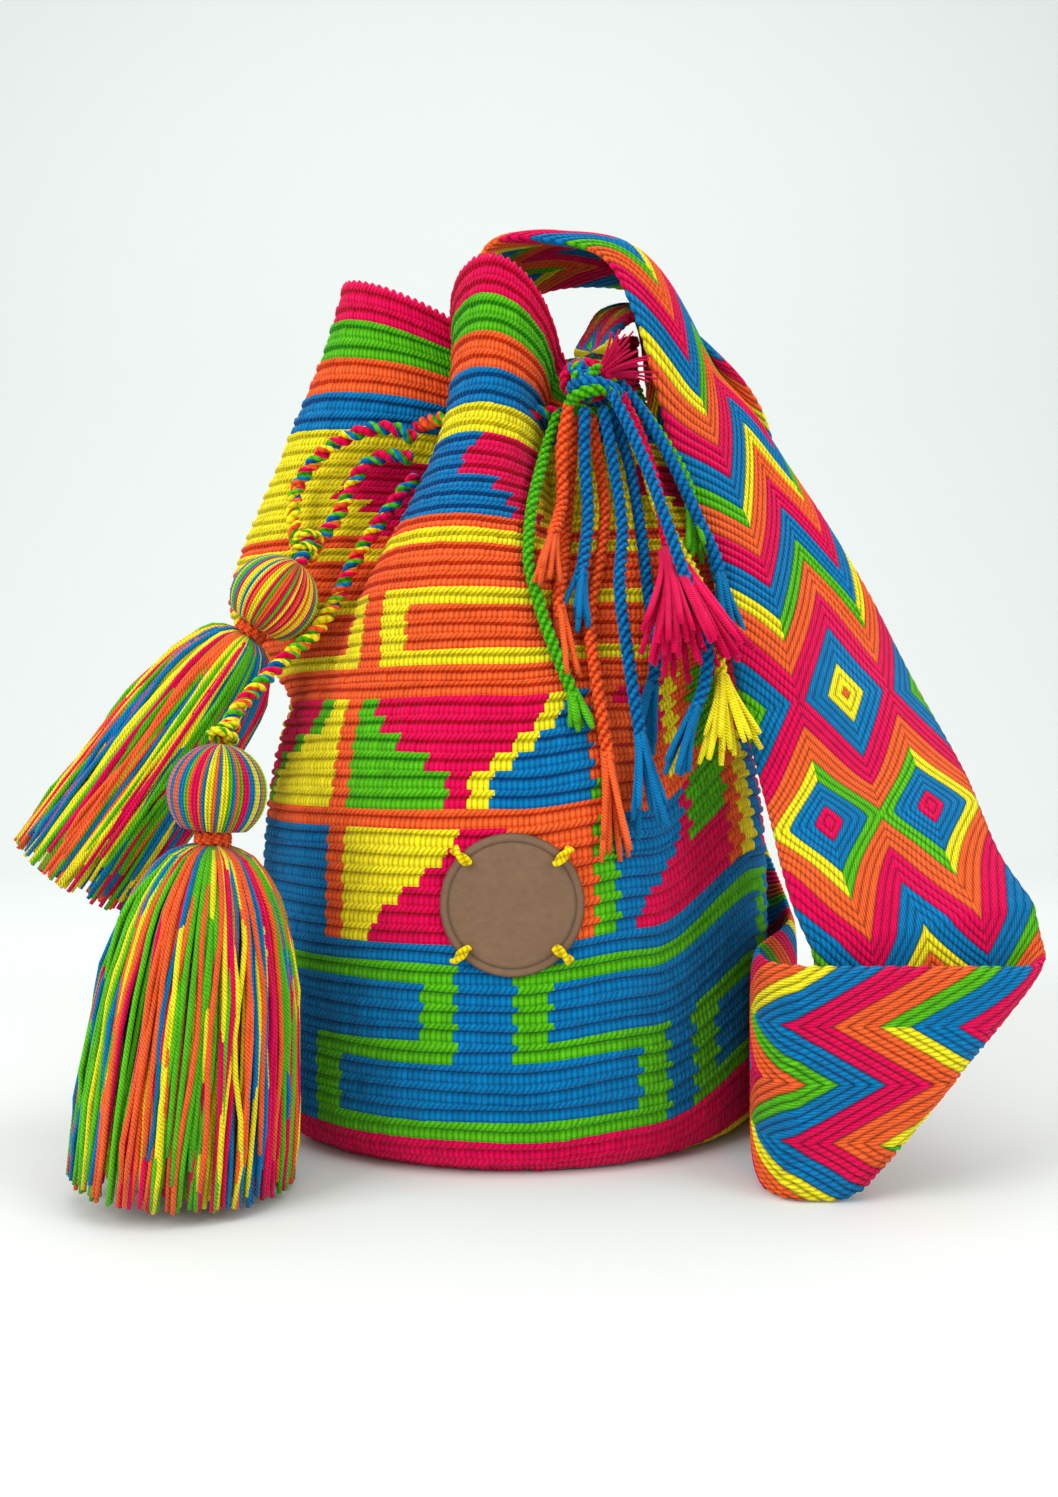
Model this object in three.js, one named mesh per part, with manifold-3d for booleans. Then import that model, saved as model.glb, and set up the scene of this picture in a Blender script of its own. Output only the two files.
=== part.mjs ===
// Wayuu mochila bag: a crocheted bucket bag gathered by a twisted drawstring,
// with one woven shoulder strap, a knotted warp fringe, two yarn tassels and a
// stitched leather patch.
//
// Millimetres, +Z up. The origin is the centre of the round base, on the surface
// that the bag stands on, and the patch faces -Y. An azimuth is an angle in
// degrees about Z, 0 at the front (-Y) and positive towards +X.

import * as THREE from "three";
import { mergeVertices } from "three/addons/utils/BufferGeometryUtils.js";
import Module from "manifold-3d";

const wasm = await Module();
wasm.setup();

// Driving dimensions
const bodyRadius = 108;
const baseRadius = 94;
const baseCorner = 13;
const shoulderRadius = 97;
const shoulderHeight = 172;
const wallThickness = 4;
const neckHeight = 284;
const rimHeight = 332;
const rimScallop = 1.2;
const bulgeHeight = 214;
const dentAzimuth = 40;
const dentWidth = 13;
const dentDepth = 5;

const stitchColumns = 72;
const bodyRings = 9;
const neckRings = 17;
const innerRings = 10;

const cordDiameter = 6.4;
const cordClearance = 0.9;
const gatherRadius = 47;
const gatherHeight = 289;
const gatherSteps = 40;
const gatherSeam = 1;
const cordSteps = 14;

const strapWidth = 78;
const strapThickness = 5.5;
const strapSteps = 84;
const strapColumns = 6;
const foldRadius = 6.5;
const foldCentre = [153, -118, 40.2];
const fallDirection = [0.2, 0, -0.98];
const foldStretch = 104;
const fallShare = 0.44;
const turnShare = 0.54;
const selvedgeShare = 0.55;

const fringeDiameter = 4.4;
const fringeSteps = 8;
const knotSize = [11, 9, 9];
const knotCentre = [29, -53, 300];

const ballRadius = 16.8;
const bindingRadius = 6.4;
const bindingHeight = 6;
const bindingShare = 0.75;
const skirtLength = 114;
const headStrands = 12;
const skirtStrands = 16;

const patchRadius = 25.5;
const patchThickness = 2.2;
const patchHeight = 97.6;
const patchGap = 0.4;
const patchSides = 24;
const profileSteps = 400;
const threadDiameter = 1.8;
const threadReach = 4.2;

const gap = 0.35;

// Each fold of the gathered neck: its azimuth, half width and reach at the
// bulge above the body, at the drawstring and at the rim, and its rim height.
const folds = {
  front: { azimuth: [-20, -13, -6], width: [40, 38, 40], reach: [93, 63, 58], top: 349 },
  right: { azimuth: [62, 62, 60], width: [42, 36, 34], reach: [98, 69, 56], top: 330 },
  backRight: { azimuth: [118, 122, 124], width: [40, 36, 36], reach: [97, 66, 64], top: 342 },
  backLeft: { azimuth: [-160, -160, -162], width: [40, 38, 38], reach: [97, 66, 66], top: 344 },
  left: { azimuth: [-97, -90, -80], width: [44, 38, 36], reach: [127, 99, 75], top: 351 },
};
const valleyRadius = [72, 29, 36];

// The rim sags where the strap comes over it to its knot
const rimDip = { azimuth: 45, width: 62, depth: 24 };

// Yarn colours
const magenta = 0xe0085f;
const orange = 0xff6932;
const yellow = 0xf5e637;
const green = 0x5ab428;
const blue = 0x0073aa;
const brown = 0x8b6b50;

const bag = new THREE.Group();
bag.name = "wayuu_mochila_bag";

// Shared helpers

const vector = (point) => new THREE.Vector3(...point);

const yarn = (colour) => new THREE.MeshStandardMaterial({ color: colour, roughness: 0.92, metalness: 0 });

function addMesh(name, geometry, material) {
  const mesh = new THREE.Mesh(geometry, material);
  mesh.name = name;
  bag.add(mesh);
  return mesh;
}

// A closed skin through rings of equal length, with a pole at each end
function ringSolid(firstPole, rings, lastPole) {
  const count = rings[0].length;
  const positions = [firstPole, ...rings.flat(), lastPole].flatMap((point) => point.toArray());
  const last = rings.length * count + 1;
  const at = (ring, column) => 1 + ring * count + (column % count);
  const faces = [];
  for (let column = 0; column < count; column += 1) {
    faces.push(0, at(0, column + 1), at(0, column));
    for (let ring = 0; ring < rings.length - 1; ring += 1) {
      faces.push(at(ring, column), at(ring, column + 1), at(ring + 1, column));
      faces.push(at(ring, column + 1), at(ring + 1, column + 1), at(ring + 1, column));
    }
    faces.push(last, at(rings.length - 1, column), at(rings.length - 1, column + 1));
  }
  const geometry = new THREE.BufferGeometry();
  geometry.setAttribute("position", new THREE.Float32BufferAttribute(positions, 3));
  geometry.setIndex(faces);
  geometry.computeVertexNormals();
  return geometry;
}

function toManifold(geometry) {
  const plain = geometry.clone();
  plain.deleteAttribute("normal");
  plain.deleteAttribute("uv");
  const merged = mergeVertices(plain, 1e-4);
  const mesh = new wasm.Mesh({
    numProp: 3,
    vertProperties: new Float32Array(merged.attributes.position.array),
    triVerts: new Uint32Array(merged.index.array),
  });
  return new wasm.Manifold(mesh);
}

function fromManifold(solid) {
  const mesh = solid.getMesh();
  const geometry = new THREE.BufferGeometry();
  geometry.setAttribute("position", new THREE.BufferAttribute(new Float32Array(mesh.vertProperties), 3));
  geometry.setIndex(new THREE.BufferAttribute(new Uint32Array(mesh.triVerts), 1));
  geometry.computeVertexNormals();
  return geometry;
}

// A round cord along a smooth curve through hand-set points
function cordGeometry(points, diameter, steps, sides = 8, closed = false) {
  const outline = new THREE.Shape();
  for (let side = 0; side < sides; side += 1) {
    const angle = (side / sides) * 2 * Math.PI;
    const spot = [(diameter / 2) * Math.cos(angle), (diameter / 2) * Math.sin(angle)];
    if (side === 0) outline.moveTo(...spot);
    else outline.lineTo(...spot);
  }
  outline.closePath();
  const extrudePath = new THREE.CatmullRomCurve3(points.map(vector), closed, "centripetal");
  return new THREE.ExtrudeGeometry(outline, { steps, extrudePath, bevelEnabled: false });
}

// Crocheted wall: a bucket body, then a neck drawn into five folds

const wallProfile = new THREE.CatmullRomCurve3(
  [
    [baseRadius, 0],
    [bodyRadius - 4, 0.28 * baseCorner],
    [bodyRadius, baseCorner],
    [bodyRadius + 0.5, 0.35 * shoulderHeight],
    [bodyRadius - 0.5, 0.67 * shoulderHeight],
    [bodyRadius - 5, 0.87 * shoulderHeight],
    [shoulderRadius, shoulderHeight],
  ].map(([radius, height]) => new THREE.Vector3(radius, height, 0)),
  false,
  "centripetal",
);

const polar = (azimuth, radius, height) => {
  const angle = THREE.MathUtils.degToRad(azimuth);
  return new THREE.Vector3(radius * Math.sin(angle), -radius * Math.cos(angle), height);
};

const turnBetween = (from, to) => THREE.MathUtils.euclideanModulo(to - from + 180, 360) - 180;

function dent(azimuth, height) {
  const across = turnBetween(dentAzimuth, azimuth) / dentWidth;
  const along = (height - 0.8 * shoulderHeight) / (0.45 * shoulderHeight);
  return dentDepth * Math.exp(-across * across - along * along);
}

// The fold's swell at an azimuth, from 0 in a valley to 1 on the fold's crest
function swell(fold, level, azimuth) {
  const offset = Math.min(1, Math.abs(turnBetween(fold.azimuth[level], azimuth)) / fold.width[level]);
  return Math.cos((Math.PI / 2) * offset) ** 1.1;
}

function rimSag(azimuth) {
  const offset = Math.min(1, Math.abs(turnBetween(rimDip.azimuth, azimuth)) / rimDip.width);
  return rimDip.depth * Math.cos((Math.PI / 2) * offset) ** 2;
}

// One gathered section, with its stitch columns spaced evenly along the wall
function gatheredSection(level, height, levelRise) {
  const samples = 1440;
  const spots = [];
  for (let sample = 0; sample <= samples; sample += 1) {
    const azimuth = folds.front.azimuth[level] + (360 * sample) / samples;
    let radius = valleyRadius[level];
    let rise = 0;
    for (const fold of Object.values(folds)) {
      const share = swell(fold, level, azimuth);
      radius += (fold.reach[level] - valleyRadius[level]) * share;
      rise += levelRise * (fold.top - rimHeight) * share;
    }
    const dip = levelRise * rimSag(azimuth);
    spots.push(polar(azimuth, radius, height + rise - dip));
  }
  const lengths = [0];
  for (let sample = 1; sample <= samples; sample += 1) {
    lengths.push(lengths[sample - 1] + spots[sample].distanceTo(spots[sample - 1]));
  }
  const section = [];
  let sample = 0;
  for (let column = 0; column < stitchColumns; column += 1) {
    const target = (column / stitchColumns) * lengths[samples];
    while (lengths[sample + 1] < target) sample += 1;
    const share = (target - lengths[sample]) / (lengths[sample + 1] - lengths[sample]);
    section.push(spots[sample].clone().lerp(spots[sample + 1], share));
  }
  return section;
}

const shoulderAzimuth = (column) => folds.front.azimuth[0] + (360 * column) / stitchColumns;

function bodyPoint(column, share) {
  const azimuth = shoulderAzimuth(column);
  const spot = wallProfile.getPointAt(share);
  return polar(azimuth, spot.x - dent(azimuth, spot.y), spot.y);
}

const bulgeSection = gatheredSection(0, bulgeHeight, 0);
const drawnSection = gatheredSection(1, neckHeight, 0.25);
const rimSection = gatheredSection(2, rimHeight, 1);

const neckCurves = Array.from({ length: stitchColumns }, (_, column) => {
  const points = [
    bodyPoint(column, 0.9),
    bodyPoint(column, 1),
    bulgeSection[column],
    drawnSection[column],
    rimSection[column],
  ];
  return new THREE.CatmullRomCurve3(points, false, "centripetal");
});

// The neck curves start below the shoulder, to leave it smoothly
const neckStart = 0.25;
const neckPoint = (column, share) => neckCurves[column].getPoint(neckStart + (1 - neckStart) * share);

// Outer rings from the base to the rim, then inner rings back down
const outerRings = [];
for (const radius of [0.4 * baseRadius, 0.8 * baseRadius]) {
  outerRings.push(neckCurves.map((_, column) => polar(shoulderAzimuth(column), radius, 0)));
}
for (let ring = 0; ring <= bodyRings; ring += 1) {
  const share = (ring / bodyRings) ** 1.5;
  outerRings.push(neckCurves.map((_, column) => bodyPoint(column, share)));
}
for (let ring = 1; ring <= neckRings; ring += 1) {
  outerRings.push(neckCurves.map((_, column) => neckPoint(column, ring / neckRings)));
}

// How far in from the outer wall the inner wall lies, square to the surface
function insetRing(rings, index, inset) {
  return rings[index].map((point, column) => {
    const count = stitchColumns;
    const before = rings[index][(column + count - 1) % count];
    const after = rings[index][(column + 1) % count];
    const below = rings[Math.max(index - 1, 0)][column];
    const above = rings[Math.min(index + 1, rings.length - 1)][column];
    const across = after.clone().sub(before);
    const along = above.clone().sub(below);
    const outward = across.cross(along).normalize();
    return point.clone().addScaledVector(outward, -inset);
  });
}

const rimIndex = outerRings.length - 1;
const scallop = (point, column) => {
  const lift = column % 2 === 0 ? rimScallop : -rimScallop;
  return point.clone().add(new THREE.Vector3(0, 0, lift));
};
const rimTop = insetRing(outerRings, rimIndex, wallThickness / 2).map((point, column) => {
  return scallop(point, column).add(new THREE.Vector3(0, 0, wallThickness / 2));
});
const innerWall = [];
for (let step = 0; step <= innerRings; step += 1) {
  const index = Math.round(rimIndex - ((rimIndex - 4) * step) / innerRings);
  innerWall.push(insetRing(outerRings, index, wallThickness));
}
const floorRing = neckCurves.map((_, column) => {
  return polar(shoulderAzimuth(column), baseRadius - wallThickness, wallThickness);
});

const bagWall = ringSolid(
  new THREE.Vector3(0, 0, 0),
  [...outerRings, rimTop, ...innerWall, floorRing],
  new THREE.Vector3(0, 0, wallThickness),
);

// Drawstring: the stretch that the wall holds, in and out through the folds

const gatherPoints = Array.from({ length: gatherSteps }, (_, step) => {
  return polar((360 * step) / gatherSteps, gatherRadius, gatherHeight).toArray();
});

// A closed cord with a small square-cut joint, so that its ends never meet
function ringCord(points, diameter) {
  const seam = polar(360 - gatherSeam, gatherRadius, gatherHeight).toArray();
  return cordGeometry([...points, seam], diameter, gatherSteps);
}

const eyeletCutter = cordGeometry(gatherPoints, cordDiameter + 2 * cordClearance, gatherSteps, 8, true);
const threadedWall = toManifold(bagWall).subtract(toManifold(eyeletCutter));
addMesh("crochet_bag", fromManifold(threadedWall), yarn(orange));
addMesh("drawstring_gather", ringCord(gatherPoints, cordDiameter), yarn(blue));

// Drawstring tails, which leave the valley left of the front fold
const cordRoutes = {
  drawstring_loop_outer: [
    [-41, -33, 281], [-49, -35, 285], [-59, -35, 285], [-69, -34, 282], [-78, -33, 277],
    [-85, -32, 270], [-90, -33, 261], [-91, -36, 252], [-90, -40, 243], [-88, -43, 237],
  ],
  drawstring_loop_inner: [
    [-42, -34, 273], [-49, -34, 274], [-57, -34, 273], [-64, -35, 267], [-68, -36, 259],
    [-72, -39, 249], [-77, -42, 241], [-81, -45, 235],
  ],
  drawstring_tail: [
    [-40, -37, 265], [-45, -39, 259], [-50, -41, 252], [-56, -43, 243], [-62, -46, 233],
    [-67, -50, 222], [-72, -54, 210], [-78, -63, 198], [-86, -71, 189], [-93, -83, 179],
    [-99, -98, 168], [-102, -111, 158],
  ],
};
for (const [name, points] of Object.entries(cordRoutes)) {
  addMesh(name, cordGeometry(points, cordDiameter, cordSteps), yarn(blue));
}

// Shoulder strap: one flat woven band

// Centre, width direction and bow of the middle, from the end sewn inside the
// front fold to the turn
const fallStations = [
  [[-10, -21, 297], [0, 1, 0], 0],
  [[-12, -19, 317], [0, 1, 0], 0],
  [[-12.5, -13, 337], [0.05, 1, 0], 0],
  [[-9, -10, 352], [0.12, 1, 0.05], 2],
  [[3, -10, 361], [0.22, 1, 0.08], 5],
  [[24, -9, 363], [0.25, 0.97, 0.12], 8],
  [[47, -8, 358], [0.27, 0.95, 0.15], 10],
  [[62, -9, 335], [0.31, 0.93, 0.2], 11],
  [[71, -10, 310], [0.31, 0.87, 0.37], 13],
  [[85, -21, 279], [0.5, 0.73, 0.46], 16],
  [[100, -35, 247], [0.64, 0.66, 0.4], 12],
  [[113, -55, 209], [0.82, 0.52, 0.22], 10],
  [[121, -74, 174], [0.92, 0.36, 0.12], 7],
  [[130, -95, 137], [0.97, 0.18, 0.13], 2],
  [[136, -110.5, 107], [0.97, 0.12, 0.18], 0],
];

// A spot outside the body's wall, from its azimuth and its clearance to the wall
const beside = (azimuth, clearance, height) => polar(azimuth, bodyRadius + clearance, height).toArray();

// From the turn, round the bag's right side and back, and up to the knot
const riseStations = [
  [beside(36, 52, 40.2), [0, 0, 1]],
  [beside(36.2, 41.8, 40.2), [0, 0, 1]],
  [beside(39.2, 31.3, 40.2), [0, 0, 1]],
  [beside(45.3, 20, 40.4), [0, 0, 1]],
  [beside(54.7, 13.2, 40.6), [0, 0, 1]],
  [beside(67.1, 10.3, 41), [0, 0, 1]],
  [beside(80.3, 10.7, 42), [0, 0, 1]],
  [beside(93.8, 11.8, 44), [0.03, -0.08, 1]],
  [beside(105.3, 13.3, 51), [0.12, -0.35, 0.93]],
  [beside(116.4, 13.6, 66), [0.3, -0.6, 0.75]],
  [beside(125.6, 13.8, 89), [0.48, -0.74, 0.47]],
  [beside(131.3, 13.2, 118), [0.6, -0.78, 0.17]],
  [beside(132.3, 10.9, 150), [0.64, -0.77, 0]],
  [beside(130.5, 9, 184), [0.66, -0.75, 0]],
  [beside(125.9, 4.4, 220), [0.66, -0.75, 0]],
  [[92, 50, 256], [0.66, -0.75, 0]],
  [[89, 30, 290], [0.68, -0.73, 0]],
  [[80, 15, 320], [0.68, -0.68, -0.2]],
  [[64, 2, 342], [0.64, -0.64, -0.48]],
  [[46, -13, 340], [0.68, -0.68, -0.25]],
  [[36, -29, 326], [0.75, -0.66, 0]],
  [[31, -43, 314], [0.85, -0.5, 0]],
];

const fallStep = vector(fallDirection).normalize();
const turnedStep = new THREE.Vector3(-1, 0, 0);
const foldLine = fallStep.clone().add(turnedStep).normalize();
const foldOut = new THREE.Vector3(-foldLine.z, 0, foldLine.x);
const foldForward = new THREE.Vector3(0, -1, 0);
const fallAcross = new THREE.Vector3(-fallStep.z, 0, fallStep.x);

// The diagonal turn: the band rolls over a line and lies in front of itself
function turnPoint(along, across) {
  const flat = fallStep.clone().multiplyScalar(along).addScaledVector(fallAcross, across);
  const halfRoll = (Math.PI * foldRadius) / 2;
  const beyond = flat.dot(foldOut) + halfRoll;
  const rolled = THREE.MathUtils.clamp(beyond / foldRadius, 0, Math.PI);
  const before = Math.min(beyond, 0);
  const after = Math.max(beyond - 2 * halfRoll, 0);
  const reach = before + foldRadius * Math.sin(rolled) - after - halfRoll;
  const forward = foldRadius * (1 - Math.cos(rolled));
  return vector(foldCentre)
    .addScaledVector(foldLine, flat.dot(foldLine))
    .addScaledVector(foldOut, reach)
    .addScaledVector(foldForward, forward);
}

// A band along stations of a centre, a width direction and a bow, by which the
// band's middle stands out between its edges
function sweep(stations) {
  const centres = new THREE.CatmullRomCurve3(stations.map(([centre]) => vector(centre)), false, "centripetal");
  const widths = new THREE.CatmullRomCurve3(stations.map(([, width]) => vector(width).normalize()));
  const bows = stations.map(([, , bow = 0]) => bow);
  return (share, spread, across) => {
    const time = centres.getUtoTmapping(share);
    const width = widths.getPoint(time).normalize();
    const place = time * (stations.length - 1);
    const index = Math.min(Math.floor(place), stations.length - 2);
    const blend = THREE.MathUtils.smoothstep(place - index, 0, 1);
    const bow = THREE.MathUtils.lerp(bows[index], bows[index + 1], blend) * (1 - across * across);
    const outward = centres.getTangent(time).cross(width).normalize();
    return centres.getPoint(time).addScaledVector(width, spread).addScaledVector(outward, bow);
  };
}

const turnStart = turnPoint(-foldStretch / 2, 0).toArray();
const turnEnd = turnPoint(foldStretch / 2, 0).toArray();
const fallSweep = sweep([...fallStations, [turnStart, fallAcross.toArray()]]);
const riseSweep = sweep([[turnEnd, [0, 0, 1]], ...riseStations]);

// Half width along the band, drawn in at its sewn end and towards the knot
function strapHalfWidth(share) {
  const sewn = THREE.MathUtils.smoothstep(share, 0, 0.07);
  const knotted = THREE.MathUtils.smoothstep(1 - share, 0, 0.13);
  return (strapWidth / 2) * (0.66 + 0.34 * sewn) * (0.2 + 0.8 * knotted);
}

function strapPoint(share, across) {
  const spread = across * strapHalfWidth(share);
  if (share < fallShare) return fallSweep(share / fallShare, spread, across);
  if (share <= turnShare) {
    const along = (share - fallShare) / (turnShare - fallShare) - 0.5;
    return turnPoint(along * foldStretch, spread);
  }
  return riseSweep((share - turnShare) / (1 - turnShare), spread, across);
}

// A band of the given thickness, with rounded selvedges
function strapRing(share) {
  const small = 0.002;
  const front = [];
  const back = [];
  for (let column = 0; column <= strapColumns; column += 1) {
    const across = (2 * column) / strapColumns - 1;
    const spot = strapPoint(share, across);
    const ahead = strapPoint(Math.min(share + small, 1), across);
    const behind = strapPoint(Math.max(share - small, 0), across);
    const right = strapPoint(share, across + 0.05);
    const left = strapPoint(share, across - 0.05);
    const normal = ahead.sub(behind).cross(right.sub(left)).normalize();
    const edge = Math.abs(across) === 1 ? selvedgeShare : 1;
    front.push(spot.clone().addScaledVector(normal, (edge * strapThickness) / 2));
    back.unshift(spot.clone().addScaledVector(normal, (-edge * strapThickness) / 2));
  }
  return [...front, ...back].reverse();
}

const strapRings = Array.from({ length: strapSteps + 1 }, (_, step) => strapRing(step / strapSteps));
const middle = (ring) => ring.reduce((sum, point) => sum.add(point), new THREE.Vector3()).divideScalar(ring.length);
addMesh("strap", ringSolid(middle(strapRings[0]), strapRings, middle(strapRings[strapSteps])), yarn(magenta));

// The knot at the strap's second end, and the warp cords that hang from it

const knot = new THREE.SphereGeometry(1, 12, 8);
knot.scale(...knotSize);
addMesh("strap_knot", knot, yarn(blue)).position.set(...knotCentre);

const fringeRoutes = {
  green: [[18, -50, 288], [14, -53, 276], [10, -62, 260], [7, -71, 245], [6, -79, 231], [6, -84, 222],
    [9, -88, 210], [12, -91, 199], [18, -95, 183], [24, -99, 168]],
  orange_short: [[22, -58, 289], [19, -59, 272], [19, -61, 251], [15, -79, 233]],
  orange_middle: [[24, -50, 287], [23, -50, 266], [21, -57, 242], [19, -74, 221], [17, -84, 210], [18, -88, 200]],
  blue_short: [[28, -60, 287], [28, -60, 267], [29, -66, 243], [27, -76, 226], [25, -82, 215]],
  orange_long: [[31, -50, 287], [34, -51, 268], [36, -60, 245], [33, -71, 224], [29, -81, 203], [31, -95, 175],
    [35, -102, 146]],
  blue_long: [[35, -59, 288], [39, -61, 266], [42, -71, 238], [40, -84, 214], [42, -93, 190], [47, -101, 152]],
  blue_middle: [[39, -50, 290], [46, -55, 265], [50, -66, 234], [52, -77, 207], [54, -82, 189], [51, -86, 172]],
  magenta: [[42, -57, 294], [52, -60, 270], [58, -69, 241], [61, -79, 214], [69, -80, 194]],
  green_right: [[38, -45, 302], [46, -45, 296], [54, -48, 286], [62, -53, 272], [68, -59, 258], [70, -63, 244]],
  blue_right: [[42, -50, 300], [50, -54, 289], [58, -60, 274], [65, -65, 258], [72, -68, 241], [78, -71, 226],
    [80, -74, 214]],
  blue_loop: [[38, -65, 292], [45, -71, 276], [52, -79, 256], [58, -87, 235], [64, -93, 214], [70, -98, 196],
    [70, -100, 178], [64, -104, 163]],
  yellow: [[47, -48, 288], [52, -50, 270], [57, -58, 248], [65, -67, 230], [71, -77, 214], [75, -86, 199],
    [76, -92, 186], [77, -97, 174]],
};
const fringeColours = { green, orange, blue, magenta, yellow };
for (const [name, points] of Object.entries(fringeRoutes)) {
  const colour = fringeColours[name.split("_")[0]];
  addMesh(`fringe_${name}`, cordGeometry(points, fringeDiameter, fringeSteps), yarn(colour));
}

// Tassels: a stranded head, a binding and a long fluted skirt of cut yarn

// A fluted round solid along the tassel's axis, from [distance, radius] stations
function flutedSolid(stations, strands, flute) {
  const rings = stations.slice(1, -1).map(([distance, radius]) => {
    return Array.from({ length: 2 * strands }, (_, corner) => {
      const reach = radius * (corner % 2 === 0 ? 1 : 1 - flute);
      const angle = (corner * Math.PI) / strands;
      return new THREE.Vector3(reach * Math.cos(angle), -reach * Math.sin(angle), -distance);
    });
  });
  const pole = (station) => new THREE.Vector3(0, 0, -station[0]);
  return ringSolid(pole(stations[0]), rings, pole(stations[stations.length - 1]));
}

function addTassel(name, centre, axis, skirtStations) {
  const turn = new THREE.Quaternion().setFromUnitVectors(new THREE.Vector3(0, 0, -1), vector(axis).normalize());
  const place = (mesh) => {
    mesh.quaternion.copy(turn);
    mesh.position.set(...centre);
  };
  const bindingTop = bindingShare * ballRadius;
  const skirtTop = bindingTop + bindingHeight + 2 * gap;
  const headStations = [-1, -0.93, -0.72, -0.38, 0, 0.38, 0.6, bindingShare, bindingShare].map((share) => {
    return [share * ballRadius, ballRadius * Math.sqrt(Math.max(0, 1 - share * share))];
  });
  headStations[headStations.length - 1] = [bindingTop, 0];
  const bindingStations = [
    [bindingTop + gap, 0],
    [bindingTop + gap, 0.85 * bindingRadius],
    [bindingTop + gap + bindingHeight / 2, bindingRadius],
    [bindingTop + gap + bindingHeight, 0.85 * bindingRadius],
    [bindingTop + gap + bindingHeight, 0],
  ];
  const skirt = skirtStations.map(([share, radius]) => [skirtTop + share * skirtLength, radius]);
  place(addMesh(`${name}_head`, flutedSolid(headStations, headStrands, 0.06), yarn(magenta)));
  place(addMesh(`${name}_binding`, flutedSolid(bindingStations, 8, 0.05), yarn(orange)));
  place(addMesh(`${name}_skirt`, flutedSolid(skirt, skirtStrands, 0.1), yarn(green)));
}

const standingSkirt = [[0, 0], [0.01, 7], [0.06, 17], [0.2, 27], [0.45, 35], [0.8, 39], [0.99, 39], [1, 0]];
const lyingSkirt = [[0, 0], [0.01, 7], [0.06, 15], [0.2, 22], [0.45, 26], [0.8, 28], [0.99, 29], [1, 0]];
addTassel("lower_tassel", [-102, -119, 137.8], [-0.09, 0, -1], standingSkirt);
addTassel("upper_tassel", [-94, -61, 212], [-0.57, -0.02, -0.82], lyingSkirt);

// Leather patch, bent to the wall, with a thread at each of four corners

const wallRadiusAt = (height) => {
  for (let step = 0; step <= profileSteps; step += 1) {
    const spot = wallProfile.getPointAt(step / profileSteps);
    if (spot.y >= height) return spot.x;
  }
  return shoulderRadius;
};

// A spot on the front wall, lifted off it, from its offset to the patch centre
function frontPoint(across, up, lift) {
  const radius = wallRadiusAt(patchHeight) + lift;
  return polar(THREE.MathUtils.radToDeg(across / bodyRadius), radius, patchHeight + up);
}

function patchRing(radius, lift) {
  return Array.from({ length: patchSides }, (_, side) => {
    const angle = (side / patchSides) * 2 * Math.PI;
    return frontPoint(radius * Math.cos(angle), -radius * Math.sin(angle), lift);
  });
}

const patchBack = patchGap;
const patchFront = patchGap + patchThickness;
const patchRings = [
  patchRing(0.5 * patchRadius, patchFront),
  patchRing(0.9 * patchRadius, patchFront),
  patchRing(patchRadius - 0.4, patchFront),
  patchRing(patchRadius, patchFront - 0.5),
  patchRing(patchRadius, patchBack),
  patchRing(0.5 * patchRadius, patchBack),
];
addMesh(
  "leather_patch",
  ringSolid(frontPoint(0, 0, patchFront), patchRings, frontPoint(0, 0, patchBack)),
  new THREE.MeshStandardMaterial({ color: brown, roughness: 0.6, metalness: 0 }),
);

const threadHeight = patchFront + threadDiameter / 2 + gap;
for (const [corner, angle] of [135, 45, 225, 315].entries()) {
  const turn = THREE.MathUtils.degToRad(angle);
  const route = [-threadReach, 0, threadReach].map((offset) => {
    const distance = patchRadius - 1.2 + offset;
    const lift = offset > 0 ? threadHeight - 1.1 : threadHeight;
    return frontPoint(distance * Math.cos(turn), distance * Math.sin(turn), lift).toArray();
  });
  addMesh(`patch_stitch_${corner + 1}`, cordGeometry(route, threadDiameter, 4), yarn(yellow));
}

export default bag;
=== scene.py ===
# %% [markdown]
# # A crocheted mochila, from the yarn up
# The real bag is one piece of tapestry crochet: single crochet worked in a
# spiral, with five yarn colours carried along inside the rows. A drawstring
# gathers its neck into folds, a plaited band is its shoulder strap, and two
# tassels weigh the drawstring down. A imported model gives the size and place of
# every piece. This script dresses that model in yarn, and never moves it.

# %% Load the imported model
import math

import bpy
import numpy as np
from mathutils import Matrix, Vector


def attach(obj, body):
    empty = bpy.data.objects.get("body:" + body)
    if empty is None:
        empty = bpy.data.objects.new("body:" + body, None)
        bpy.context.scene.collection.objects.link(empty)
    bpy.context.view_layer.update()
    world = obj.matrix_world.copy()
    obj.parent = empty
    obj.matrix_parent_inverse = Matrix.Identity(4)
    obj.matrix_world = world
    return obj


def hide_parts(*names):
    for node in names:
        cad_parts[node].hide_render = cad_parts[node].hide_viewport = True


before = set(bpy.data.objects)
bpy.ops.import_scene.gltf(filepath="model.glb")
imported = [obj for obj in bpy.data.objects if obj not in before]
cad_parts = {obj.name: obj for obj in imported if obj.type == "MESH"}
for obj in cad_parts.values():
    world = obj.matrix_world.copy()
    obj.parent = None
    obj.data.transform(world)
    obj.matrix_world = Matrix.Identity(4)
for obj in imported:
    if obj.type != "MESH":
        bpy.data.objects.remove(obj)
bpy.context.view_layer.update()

print("packed nodes:", len(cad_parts))

# %% [markdown]
# ## Camera and stage
# A product photograph like this one is taken level, from close by, with a wide
# lens, so what is near looks large. The stage is a sweep: a floor that curves
# up into a backdrop, so that no horizon line shows. It is pale and nearly
# white, and large soft lights leave only faint shadows.

# %% Camera
CAMERA_PLACE = (0.006, -0.554, 0.153)
CAMERA_LENS = 30.2

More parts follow.
